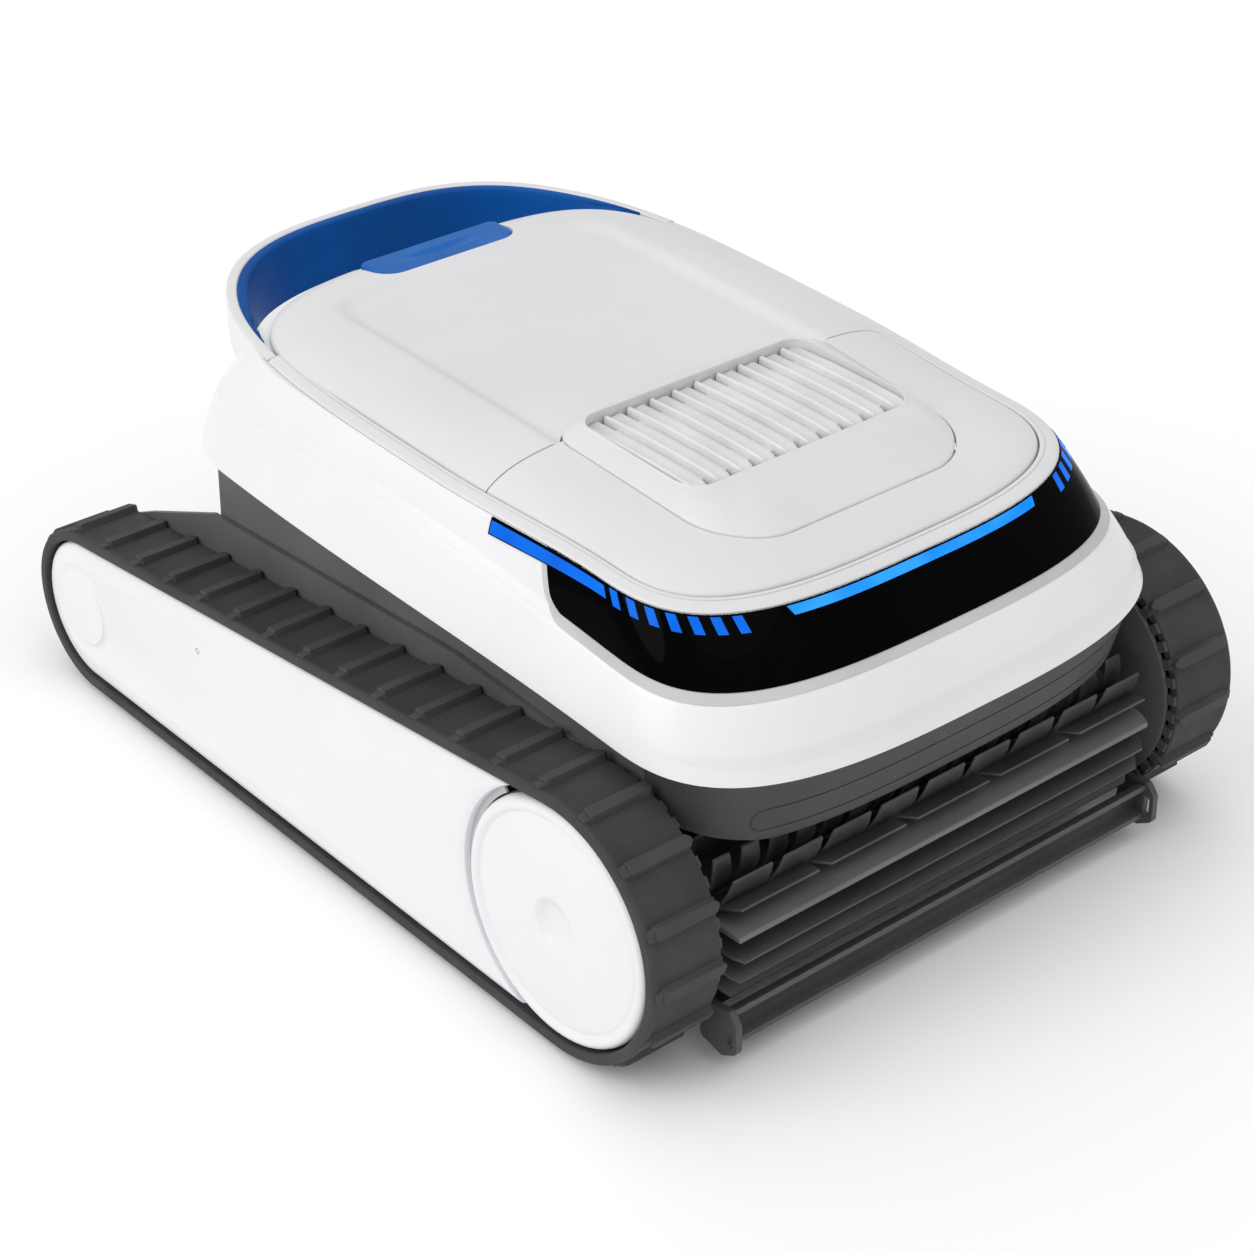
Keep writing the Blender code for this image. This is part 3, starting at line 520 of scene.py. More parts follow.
def moulded(name, light, dark, rough, grain_mm, relief, cloud_mm, wear_and_highlight=0.0, wear_and_highlight_tone=None,
            stretch=(1, 1, 1), **sockets):
    """Surface out of a mould: a cloudy tint between two tones, a fine grain that moves roughness and relief,
    and paler edges, which are rubbed wear on some finishes and a painted highlight on others."""
    if name in bpy.data.materials:
        return bpy.data.materials[name]
    mat, tree, shader = new_material(name, **sockets)
    coords = add_node(tree, "ShaderNodeTexCoord").outputs["Object"]
    spread = add_node(tree, "ShaderNodeMapping", {"Vector": coords, "Scale": stretch}).outputs["Vector"]
    cloud = add_node(tree, "ShaderNodeTexNoise", {"Vector": spread, "Scale": 1000.0 / cloud_mm, "Detail": 3.0,
                                                  "Roughness": 0.55})
    grain = add_node(tree, "ShaderNodeTexNoise", {"Vector": spread, "Scale": 1000.0 / grain_mm, "Detail": 2.0,
                                                  "Roughness": 0.6})
    share = add_node(tree, "ShaderNodeMapRange", {"Value": cloud.outputs["Fac"], "From Min": 0.32,
                                                  "From Max": 0.68})
    # The colours of a Mix node are its inputs 6 and 7, and its output 2
    tint = add_node(tree, "ShaderNodeMix", {0: share.outputs["Result"], 6: linear(dark), 7: linear(light)},
                    data_type="RGBA")
    colour = tint.outputs[2]
    # Pointy edges blended towards a paler tone: rubbed wear on the rubber and charcoal parts, a painted
    # highlight on the grille bars and the wiper blades
    if wear_and_highlight:
        geometry = add_node(tree, "ShaderNodeNewGeometry")
        edge = add_node(tree, "ShaderNodeMapRange", {"Value": geometry.outputs["Pointiness"],
                                                     "From Min": 0.52, "From Max": 0.62, "To Max": wear_and_highlight})
        rubbed_and_lit = add_node(tree, "ShaderNodeMath", {0: edge.outputs["Result"], 1: grain.outputs["Fac"]},
                          operation="MULTIPLY")
        worn_and_lit = add_node(tree, "ShaderNodeMix", {0: rubbed_and_lit.outputs["Value"], 6: colour, 7: linear(wear_and_highlight_tone)},
                        data_type="RGBA")
        colour = worn_and_lit.outputs[2]
    tree.links.new(colour, shader.inputs["Base Color"])
    gloss = add_node(tree, "ShaderNodeMapRange", {"Value": grain.outputs["Fac"], "From Min": 0.3,
                                                  "From Max": 0.7, "To Min": rough[0], "To Max": rough[1]})
    tree.links.new(gloss.outputs["Result"], shader.inputs["Roughness"])
    bump = add_node(tree, "ShaderNodeBump", {"Height": grain.outputs["Fac"], "Strength": relief,
                                             "Distance": 0.0004})
    tree.links.new(bump.outputs["Normal"], shader.inputs["Normal"])
    return mat


def white_abs():
    """ABS, injection moulded and polished: a near-white gloss with the faint waviness of a moulded face."""
    return moulded("white_abs_gloss_moulded", "#E8E8EA", "#E4E4E6", (0.30, 0.37), 9.0, 0.03, 90.0,
                   IOR=1.53)


def pale_abs():
    """ABS, moulded against a satin tool: a soft pale grey that spreads the highlight."""
    return moulded("pale_abs_satin_moulded", "#DCDCDD", "#D7D7D8", (0.36, 0.44), 1.4, 0.06, 80.0, IOR=1.53)


def grille_painted_highlight_abs():
    """ABS, moulded semi-gloss: the bars of the outlet, with a painted highlight that turns their edges white.
    """
    return moulded("grille_abs_moulded", "#DEDEDF", "#D2D2D3", (0.30, 0.40), 2.0, 0.06, 22.0, wear_and_highlight=0.5,
                   wear_and_highlight_tone="#FFFFFF", IOR=1.53)


def painted_shade_grey():
    """ABS with a satin face, painted light grey as shade: the step round the visor, a bevel of the white
    shell under the black visor, and the ledge deep in the groove round each hub cap.
    """
    return moulded("light_grey_abs_moulded", "#C6C6C8", "#B8B8BA", (0.34, 0.42), 1.6, 0.06, 40.0, IOR=1.53)


def black_gloss_and_painted_shade():
    """Tinted polycarbonate, moulded and hard coated: near black, with a sharp shallow reflection. The same
    black is laid as painted shade under the outlet bars and round the side lights.
    """
    return moulded("tinted_polycarbonate_coated", "#030304", "#010101", (0.05, 0.08), 12.0, 0.015, 120.0,
                   IOR=1.58, Specular_IOR_Level=0.02)


def charcoal_abs():
    """ABS, moulded against a spark-eroded tool: dark grey with a dry fine grain."""
    return moulded("charcoal_abs_eroded", "#454547", "#3B3B3D", (0.52, 0.66), 1.2, 0.22, 45.0, wear_and_highlight=0.35,
                   wear_and_highlight_tone="#6A6B6C", IOR=1.53, Specular_IOR_Level=0.4)


def guard_abs():
    """ABS, moulded satin in a lighter charcoal: the tub and the plates beside the belts."""
    return moulded("grey_charcoal_abs_satin", "#5C5C5E", "#505052", (0.46, 0.58), 1.4, 0.12, 70.0, wear_and_highlight=0.3,
                   wear_and_highlight_tone="#77787A", IOR=1.53, Specular_IOR_Level=0.4)


def track_rubber():
    """Nitrile rubber, compression moulded: dull charcoal, paler where the lugs rub."""
    return moulded("nitrile_rubber_moulded", "#3C3C3E", "#303032", (0.58, 0.74), 1.2, 0.25, 34.0, wear_and_highlight=0.5,
                   wear_and_highlight_tone="#77787A", IOR=1.52, Specular_IOR_Level=0.35)


def roller_rubber():
    """Thermoplastic elastomer, moulded: darker than the belt and slightly waxy, with drag marks along it."""
    return moulded("elastomer_moulded_waxy", "#424244", "#303032", (0.34, 0.5), 1.6, 0.12, 30.0, wear_and_highlight=0.6,
                   wear_and_highlight_tone="#8A8B8D", stretch=(0.35, 1, 1), IOR=1.5, Specular_IOR_Level=0.45)


def wiper_painted_highlight_rubber():
    """Rubber moulded smooth for the wiping blades, painted paler than the rest of the roller as a highlight
    where their faces catch the light, with a painted sheen along their length at their edges.
    """
    return moulded("silicone_rubber_smooth", "#6E6E70", "#58585A", (0.3, 0.42), 2.4, 0.06, 40.0, wear_and_highlight=0.5,
                   wear_and_highlight_tone="#9A9A9C", stretch=(0.3, 1, 1), IOR=1.41)


def handle_pp():
    """Polypropylene, moulded deep blue with a satin face."""
    return moulded("blue_polypropylene_satin", "#00509E", "#00458C", (0.42, 0.52), 1.4, 0.06, 70.0, IOR=1.49,
                   Specular_IOR_Level=0.12)


def latch_pp():
    """Polypropylene, moulded in a brighter blue: the tab that opens the lid."""
    return moulded("bright_blue_polypropylene", "#1A66B6", "#1059A6", (0.34, 0.44), 1.4, 0.06, 30.0, IOR=1.49,
                   Specular_IOR_Level=0.2)


def inner_nylon():
    """Glass-filled nylon, moulded: the mid-grey of parts inside, with short pale fibres in the skin."""
    return moulded("glass_filled_nylon_moulded", "#77787A", "#6A6B6D", (0.45, 0.6), 1.4, 0.2, 30.0, IOR=1.53)


def basket_pc():
    """Smoked polycarbonate, moulded: a cloudy dark grey wall."""
    return moulded("smoked_polycarbonate_moulded", "#8E959C", "#7E858C", (0.22, 0.32), 3.0, 0.05, 60.0,
                   IOR=1.58)


def pin_steel():
    """Stainless steel, turned: bright, with fine rings from the tool."""
    name = "stainless_steel_turned"
    if name in bpy.data.materials:
        return bpy.data.materials[name]
    mat, tree, shader = new_material(name, Metallic=1.0)
    coords = add_node(tree, "ShaderNodeTexCoord").outputs["Object"]
    rings = add_node(tree, "ShaderNodeTexWave", {"Vector": coords, "Scale": 260.0, "Distortion": 1.0},
                     bands_direction="X")
    tint = add_node(tree, "ShaderNodeValToRGB", {"Fac": rings.outputs["Fac"]})
    tint.color_ramp.elements[0].color = linear("#B4B6B8")
    tint.color_ramp.elements[1].color = linear("#C8CACC")
    tree.links.new(tint.outputs["Color"], shader.inputs["Base Color"])
    gloss = add_node(tree, "ShaderNodeMapRange", {"Value": rings.outputs["Fac"], "To Min": 0.24,
                                                  "To Max": 0.36})
    tree.links.new(gloss.outputs["Result"], shader.inputs["Roughness"])
    return mat


def light_guide(name, bright, deep, strength, pitch_mm):
    """Milky acrylic light guide, moulded: blue light with a soft brighter patch over each lamp behind it."""
    mat, tree, shader = new_material(name, Emission_Strength=strength, Roughness=0.3, IOR=1.49,
                                     Specular_IOR_Level=0.1)
    coords = add_node(tree, "ShaderNodeTexCoord").outputs["Object"]
    lamps = add_node(tree, "ShaderNodeTexNoise", {"Vector": coords, "Scale": 1000.0 / pitch_mm,
                                                  "Detail": 1.0})
    glow = add_node(tree, "ShaderNodeValToRGB", {"Fac": lamps.outputs["Fac"]})
    glow.color_ramp.elements[0].position = 0.35
    glow.color_ramp.elements[0].color = linear(deep)
    glow.color_ramp.elements[1].position = 0.68
    glow.color_ramp.elements[1].color = linear(bright)
    dim = add_node(tree, "ShaderNodeMix", {0: 0.85, 6: glow.outputs["Color"], 7: (0.0, 0.0, 0.0, 1.0)},
                   data_type="RGBA")
    tree.links.new(dim.outputs[2], shader.inputs["Base Color"])
    tree.links.new(glow.outputs["Color"], shader.inputs["Emission Color"])
    return mat


# ---------------------------------------------------------------- settings


class CleanerSizes(bpy.types.PropertyGroup):
    """Sizes that a user would change, in metres."""

    lug_height: bpy.props.FloatProperty(name="Lug height", description="Height of the lugs on the belts",
                                        default=0.0035, min=0.001, max=0.006, unit="LENGTH")
    seam_gap: bpy.props.FloatProperty(name="Seam gap", description="Width of the seams in the top",
                                      default=0.0008, min=0.0002, max=0.002, unit="LENGTH")
    dash_width: bpy.props.FloatProperty(name="Dash width", description="Width of the small corner lights",
                                        default=0.0045, min=0.002, max=0.008, unit="LENGTH")
    dash_count: bpy.props.IntProperty(name="Dashes", description="Number of small lights at each corner",
                                      default=7, min=1, max=12)
    rib_count: bpy.props.IntProperty(name="Grille bars", description="Number of bars in the outlet grille",
                                     default=10, min=4, max=16)


class CleanerStage(bpy.types.PropertyGroup):
    """Floor, light and camera."""

    floor_colour: bpy.props.FloatVectorProperty(name="Floor", description="Colour of the floor", size=4,
                                                subtype="COLOR", default=linear("#FBFBFB"), min=0.0, max=1.0)
    key_strength: bpy.props.FloatProperty(name="Key light", description="Strength of the main soft light",
                                          default=1.12, min=0.0, max=20.0)
    sky_strength: bpy.props.FloatProperty(name="Surround", description="Strength of the light from all round",
                                          default=0.66, min=0.0, max=5.0)
    focal_length: bpy.props.FloatProperty(name="Focal length", description="Focal length of the camera in mm",
                                          default=84.71, min=10.0, max=300.0)


# ---------------------------------------------------------------- pieces


class CLEANER_OT_shell(bpy.types.Operator):
    """White shell: the skirt and the band above its crease"""

    bl_idname = "cleaner.shell"
    bl_label = "Shell"

    def execute(self, context):
        low = at_height(outline(SKIRT_LOW, SHELL_END), low_edge)
        away = outward(SKIRT_LOW, SHELL_END)

        def wall(share, push=0.0):
            push += SKIRT_BULGE * share * (1.0 - share)
            row = []
            for a, b, n in zip(low, CREASE_LOOP, away):
                x, y, z = mix(a, b, share)
                row.append((x + n[0] * push, y + n[1] * push, z))
            return row

        def foot(inset, rise):
            return at_height(outline(SKIRT_LOW, SHELL_END, inset), lambda y: low_edge(y) + rise)

        rows = [foot(3.4, 9.0), foot(3.4, 0.5), foot(2.7, 0.0), foot(0.9, 0.0), foot(0.2, 0.4), wall(0.04)]
        rows += [wall(k / 12.0) for k in range(1, 12)]
        rows += [wall(0.985), wall(1.0, -0.25)]
        rows += [
            at_height(outline(SKIRT_TOP, SHELL_END, 1.0), lambda y: crease(y) + 0.2),
            at_height(outline(SKIRT_TOP, SHELL_END, 5.0), lambda y: crease(y) - 1.0),
        ]
        piece("skirt", hoop(rows, wrap=True), white_abs(), stands_for=["skirt_shell"],
              sharp=50)

        def face(height):
            return [shell_place(i, height) for i in range(len(RIM_LOOP))]

        inner_top = at_height(outline(RIM_OUT, BAND_END, 3.4), band_top)
        shelf = at_height(outline(RIM_OUT, BAND_END, 14.0), lambda y: band_top(y) - 3.2)
        under = at_height(outline(RIM_OUT, BAND_END, 14.0), lambda y: band_top(y) - 4.6)
        inner_low = at_height(outline(VISOR_LOW, SHELL_END, 3.6), crease)
        rows = [face(-1.0), face(-0.9), face(-0.1), face(0.02)] + [face(k / 12.0) for k in range(1, 12)]
        rows += [face(0.98), face(1.0), inner_top, shelf, under, inner_low]
        piece("shoulder_band", hoop(rows, wrap=True), white_abs(), stands_for=["upper_band"],
              sharp=28)
        return {"FINISHED"}


class CLEANER_OT_visor(bpy.types.Operator):
    """Black visor, its frame painted grey as shade, the blue lights along its top edge and the black strips
    painted as shadow round the side lights
    """

    bl_idname = "cleaner.visor"
    bl_label = "Visor and lights"

    def execute(self, context):
        sizes = context.scene.cleaner_sizes
        visor_end = run_at(lambda p: p[1] > VISOR_END)

        def rounded_end(reach, radius, base):
            """Half length of a plate at a height, shorter at its rounded lower corner."""

            def at(height_mm):
                up = max(0.0, height_mm - base)
                if up >= radius:
                    return reach
                return reach - radius + math.sqrt(max(0.0, radius**2 - (radius - up) ** 2))

            return at

        outer = rounded_end(visor_end + 3.9, 10.5, 0.0)
        inner = rounded_end(visor_end, 7.0, 4.6)

        def frame_place(u, v, lift):
            height = -1.0 + 2.0 * v
            rise = STEP_RISE * (height + 1.0) if height < 0.0 else STEP_RISE + VISOR_RISE * height
            return on_shell((2.0 * u - 1.0) * outer(rise), height, 0.2 + lift)

        # The step under the visor is the white shell's bevel; its grey is painted shade
        piece("visor_frame", slab(frame_place, 260, 24, 1.2), painted_shade_grey(), sharp=25)

        def visor_place(u, v, lift):
            rise = STEP_RISE + VISOR_RISE * v
            return on_shell((2.0 * u - 1.0) * inner(rise), 0.005 + 0.995 * v, 0.75 + lift)

        piece("visor_screen", slab(visor_place, 260, 16, 1.6), black_gloss_and_painted_shade(), stands_for=["visor"],
              sharp=30)

        def lamp(start, end, top, bottom, lean, lift):
            """Patch between two runs, with its top and bottom so far below the rim."""

            def place(u, v, push):
                run = start + (end - start) * u + lean * (1.0 - v)
                drop = bottom + (top - bottom) * v
                return on_shell(run, 1.0 - drop / slope_length(run), lift + push)

            return place

        bright = light_guide("acrylic_light_guide_bright", "#2E9BFF", "#0A84FF", 1.05, 22.0)
        deep = light_guide("acrylic_light_guide_deep", "#0074F4", "#0062DC", 0.92, 26.0)
        half = 77.0

        def front_bar(u, v, push):
            across = 2.0 * u - 1.0
            drop = 4.7 - 4.2 * v
            return on_shell(across * (half - 2.4 * (1.0 - v)), 1.0 - drop / slope_length(half * across),
                            LAMP_LIFT + push)

        piece("front_light", slab(front_bar, 90, 3, 0.8), bright, stands_for=["light_bar_front"])

        bar_front = run_at(lambda p: p[1] > -146.0)
        bar_rear = run_at(lambda p: p[1] > -75.0)
        last_dash = run_at(lambda p: p[0] > 95.0)
        pitch = (bar_front - last_dash) / (sizes.dash_count - 0.1)
        for side, tag in ((1, "l"), (-1, "r")):
            parts = [slab(lamp(bar_front * side, bar_rear * side, 1.3, 6.9, 0.0, LAMP_LIFT), 24, 3, 1.4)]
            for k in range(sizes.dash_count):
                middle = bar_front - pitch * (k + 0.62)
                lean = -0.5 - 0.25 * k
                wide = sizes.dash_width / MM / 2.0
                dash = lamp((middle - wide) * side, (middle + wide) * side, 0.6, 8.2, lean * side, LAMP_LIFT)
                parts.append(slab(dash, 3, 3, 0.8))
            piece("corner_lights_" + tag, joined(parts), deep, stands_for=["light_strip_" + tag])
            # Black strip just larger than the side lights: painted shadow in the gap round them and under the
            # rim
            shade_bed = lamp((bar_front - 1.0) * side, (bar_rear + 0.9) * side, 0.2, 7.6, 0.0, 0.8)
            piece("light_painted_shadow_strip_" + tag, slab(shade_bed, 24, 2, 1.2), black_gloss_and_painted_shade())
        return {"FINISHED"}


class CLEANER_OT_rim(bpy.types.Operator):
    """Top rim round the plates, the handle arch behind it and its blue liner"""

    bl_idname = "cleaner.rim"
    bl_label = "Rim and handle"

    def execute(self, context):
        def edge(inset, rise):
            return at_height(outline(RIM_OUT, HANDLE_END, inset), lambda y: rim_height(y) + rise)

        profile = [(1.2, -0.3), (0.4, -0.2), (0.0, 0.15), (0.1, 0.6), (0.6, 1.1), (1.6, 1.45), (5.7, 2.15),
                   (5.95, 1.6), (6.3, 1.6), (6.55, 2.25), (7.9, 2.4), (8.4, 1.9), (8.4, -4.0), (6.0, -4.0)]
        rim = hoop([edge(*p) for p in profile], wrap=True)
        rim = cut_plane(rim, (0.0, HANDLE_START, 0.0), (0.0, 1.0, 0.0))

        def low(y):
            deep = 22.0 * smooth_step((y - HANDLE_START - 4.0) / 34.0) + 7.0 * smooth_step((y - 150.0) / 50.0)
            return rim_height(y) - GAP - deep

        def top(y):
            return rim_height(y) + 2.2 - 0.8 * smooth_step((y - HANDLE_START - 10.0) / 70.0)

        def grip_low(y):
            return rim_height(y) - GAP - 29.0 * smooth_step((y - HANDLE_START - 26.0) / 56.0)

        def level(inset, share, rise=0.0, foot=low):
            return at_height(outline(RIM_OUT, HANDLE_END, inset),
                             lambda y: foot(y) + (top(y) - foot(y)) * share + rise)

        cap = [level(0.9, 1.0, -1.3), level(0.15, 1.0, -1.2), level(0.1, 1.0, -0.8), level(0.6, 1.0, -0.4),
               level(1.6, 1.0, -0.1), level(4.4, 1.0, -0.1), level(5.0, 1.0, -0.6), level(5.0, 1.0, -1.3)]
        cap = cut_plane(hoop(cap, wrap=True), (0.0, HANDLE_START + 0.05, 0.0), (0.0, -1.0, 0.0))
        piece("top_edge_rim", joined([rim, cap]), pale_abs(), stands_for=["top_rim"],
              sharp=24)

        arch = [level(1.4, 0.0), level(0.9, 0.0, 1.0), level(0.2, 0.35), level(0.0, 0.7),
                level(0.1, 1.0, -1.5), level(0.5, 1.0, -1.25), level(4.4, 1.0, -1.25), level(4.8, 1.0, -1.5),
                level(5.1, 0.0, 1.0), level(4.6, 0.0)]
        bm = cut_plane(hoop(arch, wrap=True), (0.0, HANDLE_START + 0.05, 0.0), (0.0, -1.0, 0.0))
        piece("handle_bow", bm, white_abs(), stands_for=["handle_arch"], sharp=30)

        def grip(inset, share, rise=0.0):
            """Row of the grip, which thins out towards its two ends."""
            return [mix(a, b, 0.12 + 0.88 * smooth_step((a[1] - 126.0) / 50.0))
                    for a, b in zip(level(5.0, share, rise, grip_low), level(inset, share, rise, grip_low))]

        liner = [grip(5.4, 0.0, 0.6), grip(5.0, 0.5), grip(5.0, 1.0, -0.8), grip(5.7, 1.0, -0.1),
                 grip(8.6, 1.0, 0.0), grip(9.8, 1.0, -0.7), grip(10.4, 1.0, -2.2), grip(11.0, 0.74),
                 grip(12.2, 0.52), grip(12.5, 0.47), grip(14.5, 0.2), grip(15.6, 0.0, 1.2), grip(14.6, 0.0)]
        bm = cut_plane(hoop(liner, wrap=True), (0.0, 126.0, 0.0), (0.0, -1.0, 0.0))
        piece("handle_grip", bm, handle_pp(), stands_for=["handle_liner"], sharp=20)
        return {"FINISHED"}


class CLEANER_OT_plates(bpy.types.Operator):
    """Front deck and lid, which share one crowned surface, and the latch tab"""

    bl_idname = "cleaner.plates"
    bl_label = "Deck, lid and latch"

    def execute(self, context):
        gap = context.scene.cleaner_sizes.seam_gap / MM
        border = outline(RIM_OUT, LID_END, RIM_W + 0.9, 0.3)
        centre = (0.0, -92.0)

        def plate_row(share, drop, recess=0.0):
            row = []
            for place in border:
                x, y = mix(place, centre, share)
                row.append((x, y, crown_height(x, y) - recess * recess_depth(x, y) - drop))
            return row

        count = 66
        shares = [0.0, 0.003, 0.008] + [0.016 + 0.964 * k / count for k in range(count + 1)]
        drops = [0.9, 0.25, 0.03] + [0.0] * (count + 1)

        def whole(recess):
            rows = [plate_row(s, d, recess) for s, d in zip(shares, drops)]
            rows += [plate_row(s, 3.0, recess) for s in (0.98, 0.7, 0.4, 0.2, 0.1, 0.04, 0.0)]
            return hoop(rows, wrap=True)

        hole = bar(bezel_outline(0.6), 150.0, 260.0)
        deck = carved(cut_plane(whole(0.0), (0.0, SEAM_Y - gap / 2.0, 0.0), (0.0, 1.0, 0.0)), hole)
        piece("deck_plate", deck, pale_abs(), stands_for=["front_deck"], sharp=30)

        hole = bar(bezel_outline(0.9), 150.0, 260.0)
        notch = rounded([(-44.7, 129.3), (44.7, 129.3), (44.7, 170.0), (-44.7, 170.0)],
                        [12.7, 12.7, 2.0, 2.0], 8)
        lid = cut_plane(whole(1.0), (0.0, SEAM_Y + gap / 2.0, 0.0), (0.0, -1.0, 0.0))
        lid = carved(lid, hole, bar(notch, 150.0, 260.0))
        piece("lid_plate", lid, pale_abs(), body="lid", stands_for=["lid"], sharp=30)

        # Latch tab with a long finger groove
        plan = rounded([(-44.0, 129.9), (44.0, 129.9), (44.0, 153.2), (-44.0, 153.2)],
                       [12.0, 12.0, 4.0, 4.0], 10)
        middle = (0.0, 141.5)

        def tab_row(inset, height):
            row = []
            for place in plan:
                length = max(0.001, math.dist(place, middle))
                x, y = mix(place, middle, min(1.0, inset / length))
                row.append((x, y, height))
            return row

        def tab_share(share):
            row = []
            for place in plan:
                x, y = mix(place, middle, share)
                groove = smooth_step(1.0 - math.hypot(x / 33.0, (y - 142.5) / 4.6))
                row.append((x, y, 225.6 - 1.6 * groove))
            return row

        rows = [tab_row(0.0, 219.5), tab_row(0.0, 224.2), tab_row(0.3, 225.0), tab_row(1.0, 225.5)]
        rows += [tab_share(0.06 + 0.9 * k / 22.0) for k in range(23)]
        piece("latch_pull", hoop(rows, caps=True), latch_pp(), body="latch", stands_for=["latch_tab"],
              sharp=40)
        return {"FINISHED"}


class CLEANER_OT_grille(bpy.types.Operator):
    """Raised bezel round the outlet and the bars across it"""

    bl_idname = "cleaner.grille"
    bl_label = "Outlet grille"

    def execute(self, context):
        steps = 9
        foot = bezel_outline(0.0, steps)
        hole = rounded(
            [(40.0, -132.4), (70.4, -132.4), (70.4, -51.8), (0.0, -51.8), (-70.4, -51.8), (-70.4, -132.4),
             (-40.0, -132.4)], [3.0, 13.0, 11.0, 3.0, 11.0, 13.0, 3.0], steps)

        def crest(y):
            return 225.4 + 0.035 * (y + 100.0)

        def slope(share, extra=0.0):
            row = []
            for a, b in zip(foot, hole):
                x, y = mix(a, b, share)
                base = crown_height(*a) + 0.35
                rise = 1.0 - (1.0 - share) ** 1.5
                row.append((x, y, base + (crest(b[1]) - base) * rise + extra))
            return row

        def rim(share, height):
            return [(*mix(a, b, share), height + crest(b[1])) for a, b in zip(foot, hole)]

        rows = [slope(0.0, -6.0), slope(0.0, -0.9), slope(0.006, -0.4), slope(0.016, -0.1)]
        rows += [slope(0.03 + 0.85 * k / 18.0) for k in range(19)]
        lip = ((0.93, 0.35), (0.965, 0.75), (0.985, 0.6), (1.0, -0.3), (1.0, -8.0), (0.9, -8.0))
        rows += [rim(*step) for step in lip]
        piece("grille_surround", hoop(rows, wrap=True), pale_abs(), stands_for=["grille_bezel"],
              sharp=40)

        # Each bar has a ridge along its left edge and rounds down at its front end: (y, width share, drop)
        stations = ((-52.9, 0.96, 0.5), (-53.5, 1.0, 0.0), (-80.0, 1.0, 0.0), (-105.0, 1.0, 0.0),
                    (-122.0, 1.0, 0.0), (-126.5, 0.98, 0.2), (-129.4, 0.86, 0.9), (-131.2, 0.62, 2.4))
        bar_top = 223.4
        bar_foot = -5.0
        bars = []
        count = context.scene.cleaner_sizes.rib_count
        pitch = 140.0 / count
        for k in range(count):
            middle = (k - (count - 1) / 2.0) * pitch
            outer = 0.5 * pitch - 1.5
            section = [(-outer, bar_foot), (-outer, 0.6), (-outer + 0.4, 1.5), (-outer + 1.1, 1.8),
                       (-outer + 1.8, 1.4), (-outer + 2.4, 0.1), (-outer + 3.4, -0.2), (outer - 2.6, 0.2),
                       (outer - 1.2, 0.3), (outer - 0.3, -0.5), (outer, -1.8), (outer, bar_foot)]
            rows = []
            for y, scale, drop in stations:
                bow = 0.9 - 1.1 * ((y + 92.0) / 40.0) ** 2
                rows.append([(middle + x * scale, y, bar_top + bow + z - (drop if z > bar_foot else 0.0))
                             for x, z in section])
            bars.append(hoop(rows, caps=True))
        # Black sheet under the bars: painted shade for the dark inside of the outlet seen between them
        shade_bed = rounded([(-69.0, -131.0), (69.0, -131.0), (69.0, -53.2), (-69.0, -53.2)], [9.0] * 4, 6)
        piece("grille_painted_shade_bed", bar(shade_bed, 214.6, 215.8), black_gloss_and_painted_shade())
        # The web and the bars share a finish whose edges are whitened as a painted highlight
        web = rounded([(-64.0, -122.5), (64.0, -122.5), (64.0, -62.0), (-64.0, -62.0)], [8.0] * 4, 6)
        piece("grille_web", bar(web, 218.6, 221.4), grille_painted_highlight_abs(), edge=0.4)
        piece("grille_bars", joined(bars), grille_painted_highlight_abs(), stands_for=["grille_ribs"],
              sharp=50)
        return {"FINISHED"}


class CLEANER_OT_tracks(bpy.types.Operator):
    """Rubber belts with their lugs and drive teeth"""

    bl_idname = "cleaner.tracks"
    bl_label = "Tracks"

    def execute(self, context):
        high = context.scene.cleaner_sizes.lug_height / MM
        pitch = BELT_LENGTH / LUG_COUNT
        stations = [on_belt(k * pitch / 8.0) for k in range(LUG_COUNT * 8)]

        def loop(x, offset):
            return [(x, y + ny * offset, z + nz * offset) for y, z, ny, nz in stations]

        section = [(150.6, -5.0), (150.0, -4.4), (150.0, -0.7), (150.7, 0.0), (168.0, 0.0), (185.6, 0.0),
                   (186.6, 0.45), (187.6, 0.6), (189.0, 0.55), (189.8, 0.0), (190.0, -0.9), (190.0, -4.2),
                   (189.2, -5.0)]

        def block(distance, sections):
            """Bar across the belt: each section is (x, half foot, half top, foot offset, top offset)."""
            y, z, ny, nz = on_belt(distance)
            rows = []
            for x, half_foot, half_top, low, top in sections:
                row = []
                for along, out in ((-half_foot, low), (half_foot, low), (half_top, top), (-half_top, top)):
                    row.append((x, y + nz * along + ny * out, z - ny * along + nz * out))
                rows.append(row)
            return hoop(rows, caps=True)

        lug = ((148.9, 1.0, 0.7, -1.0, high - 1.0), (151.6, 4.0, 2.7, -1.0, high),
               (168.0, 4.0, 2.8, -1.0, high), (184.0, 4.0, 2.8, -1.0, high),
               (185.0, 3.6, 2.2, -1.0, high - 1.0))
        shoulder = ((184.6, 3.4, 2.6, -1.0, 1.9), (188.0, 3.2, 2.4, -1.0, 1.7), (188.6, 2.8, 2.0, -1.0, 1.1))
        tooth = ((148.4, 2.6, 2.6, -6.4, -1.2), (150.6, 2.8, 2.8, -6.6, -0.9))
        for side, tag in ((1, "l"), (-1, "r")):
            parts = [hoop([loop(*p) for p in section], wrap=True)]
            for k in range(LUG_COUNT):
                parts += [block((k + 0.5) * pitch, lug), block((k + 0.5) * pitch, shoulder)]
            for k in range(LUG_COUNT * 3):
                parts.append(block((k + 0.5) * pitch / 3.0, tooth))
            piece("belt_" + tag, sided(joined(parts), side), track_rubber(), stands_for=["track_belt_" + tag],
                  sharp=30, edge=0.35)
        return {"FINISHED"}


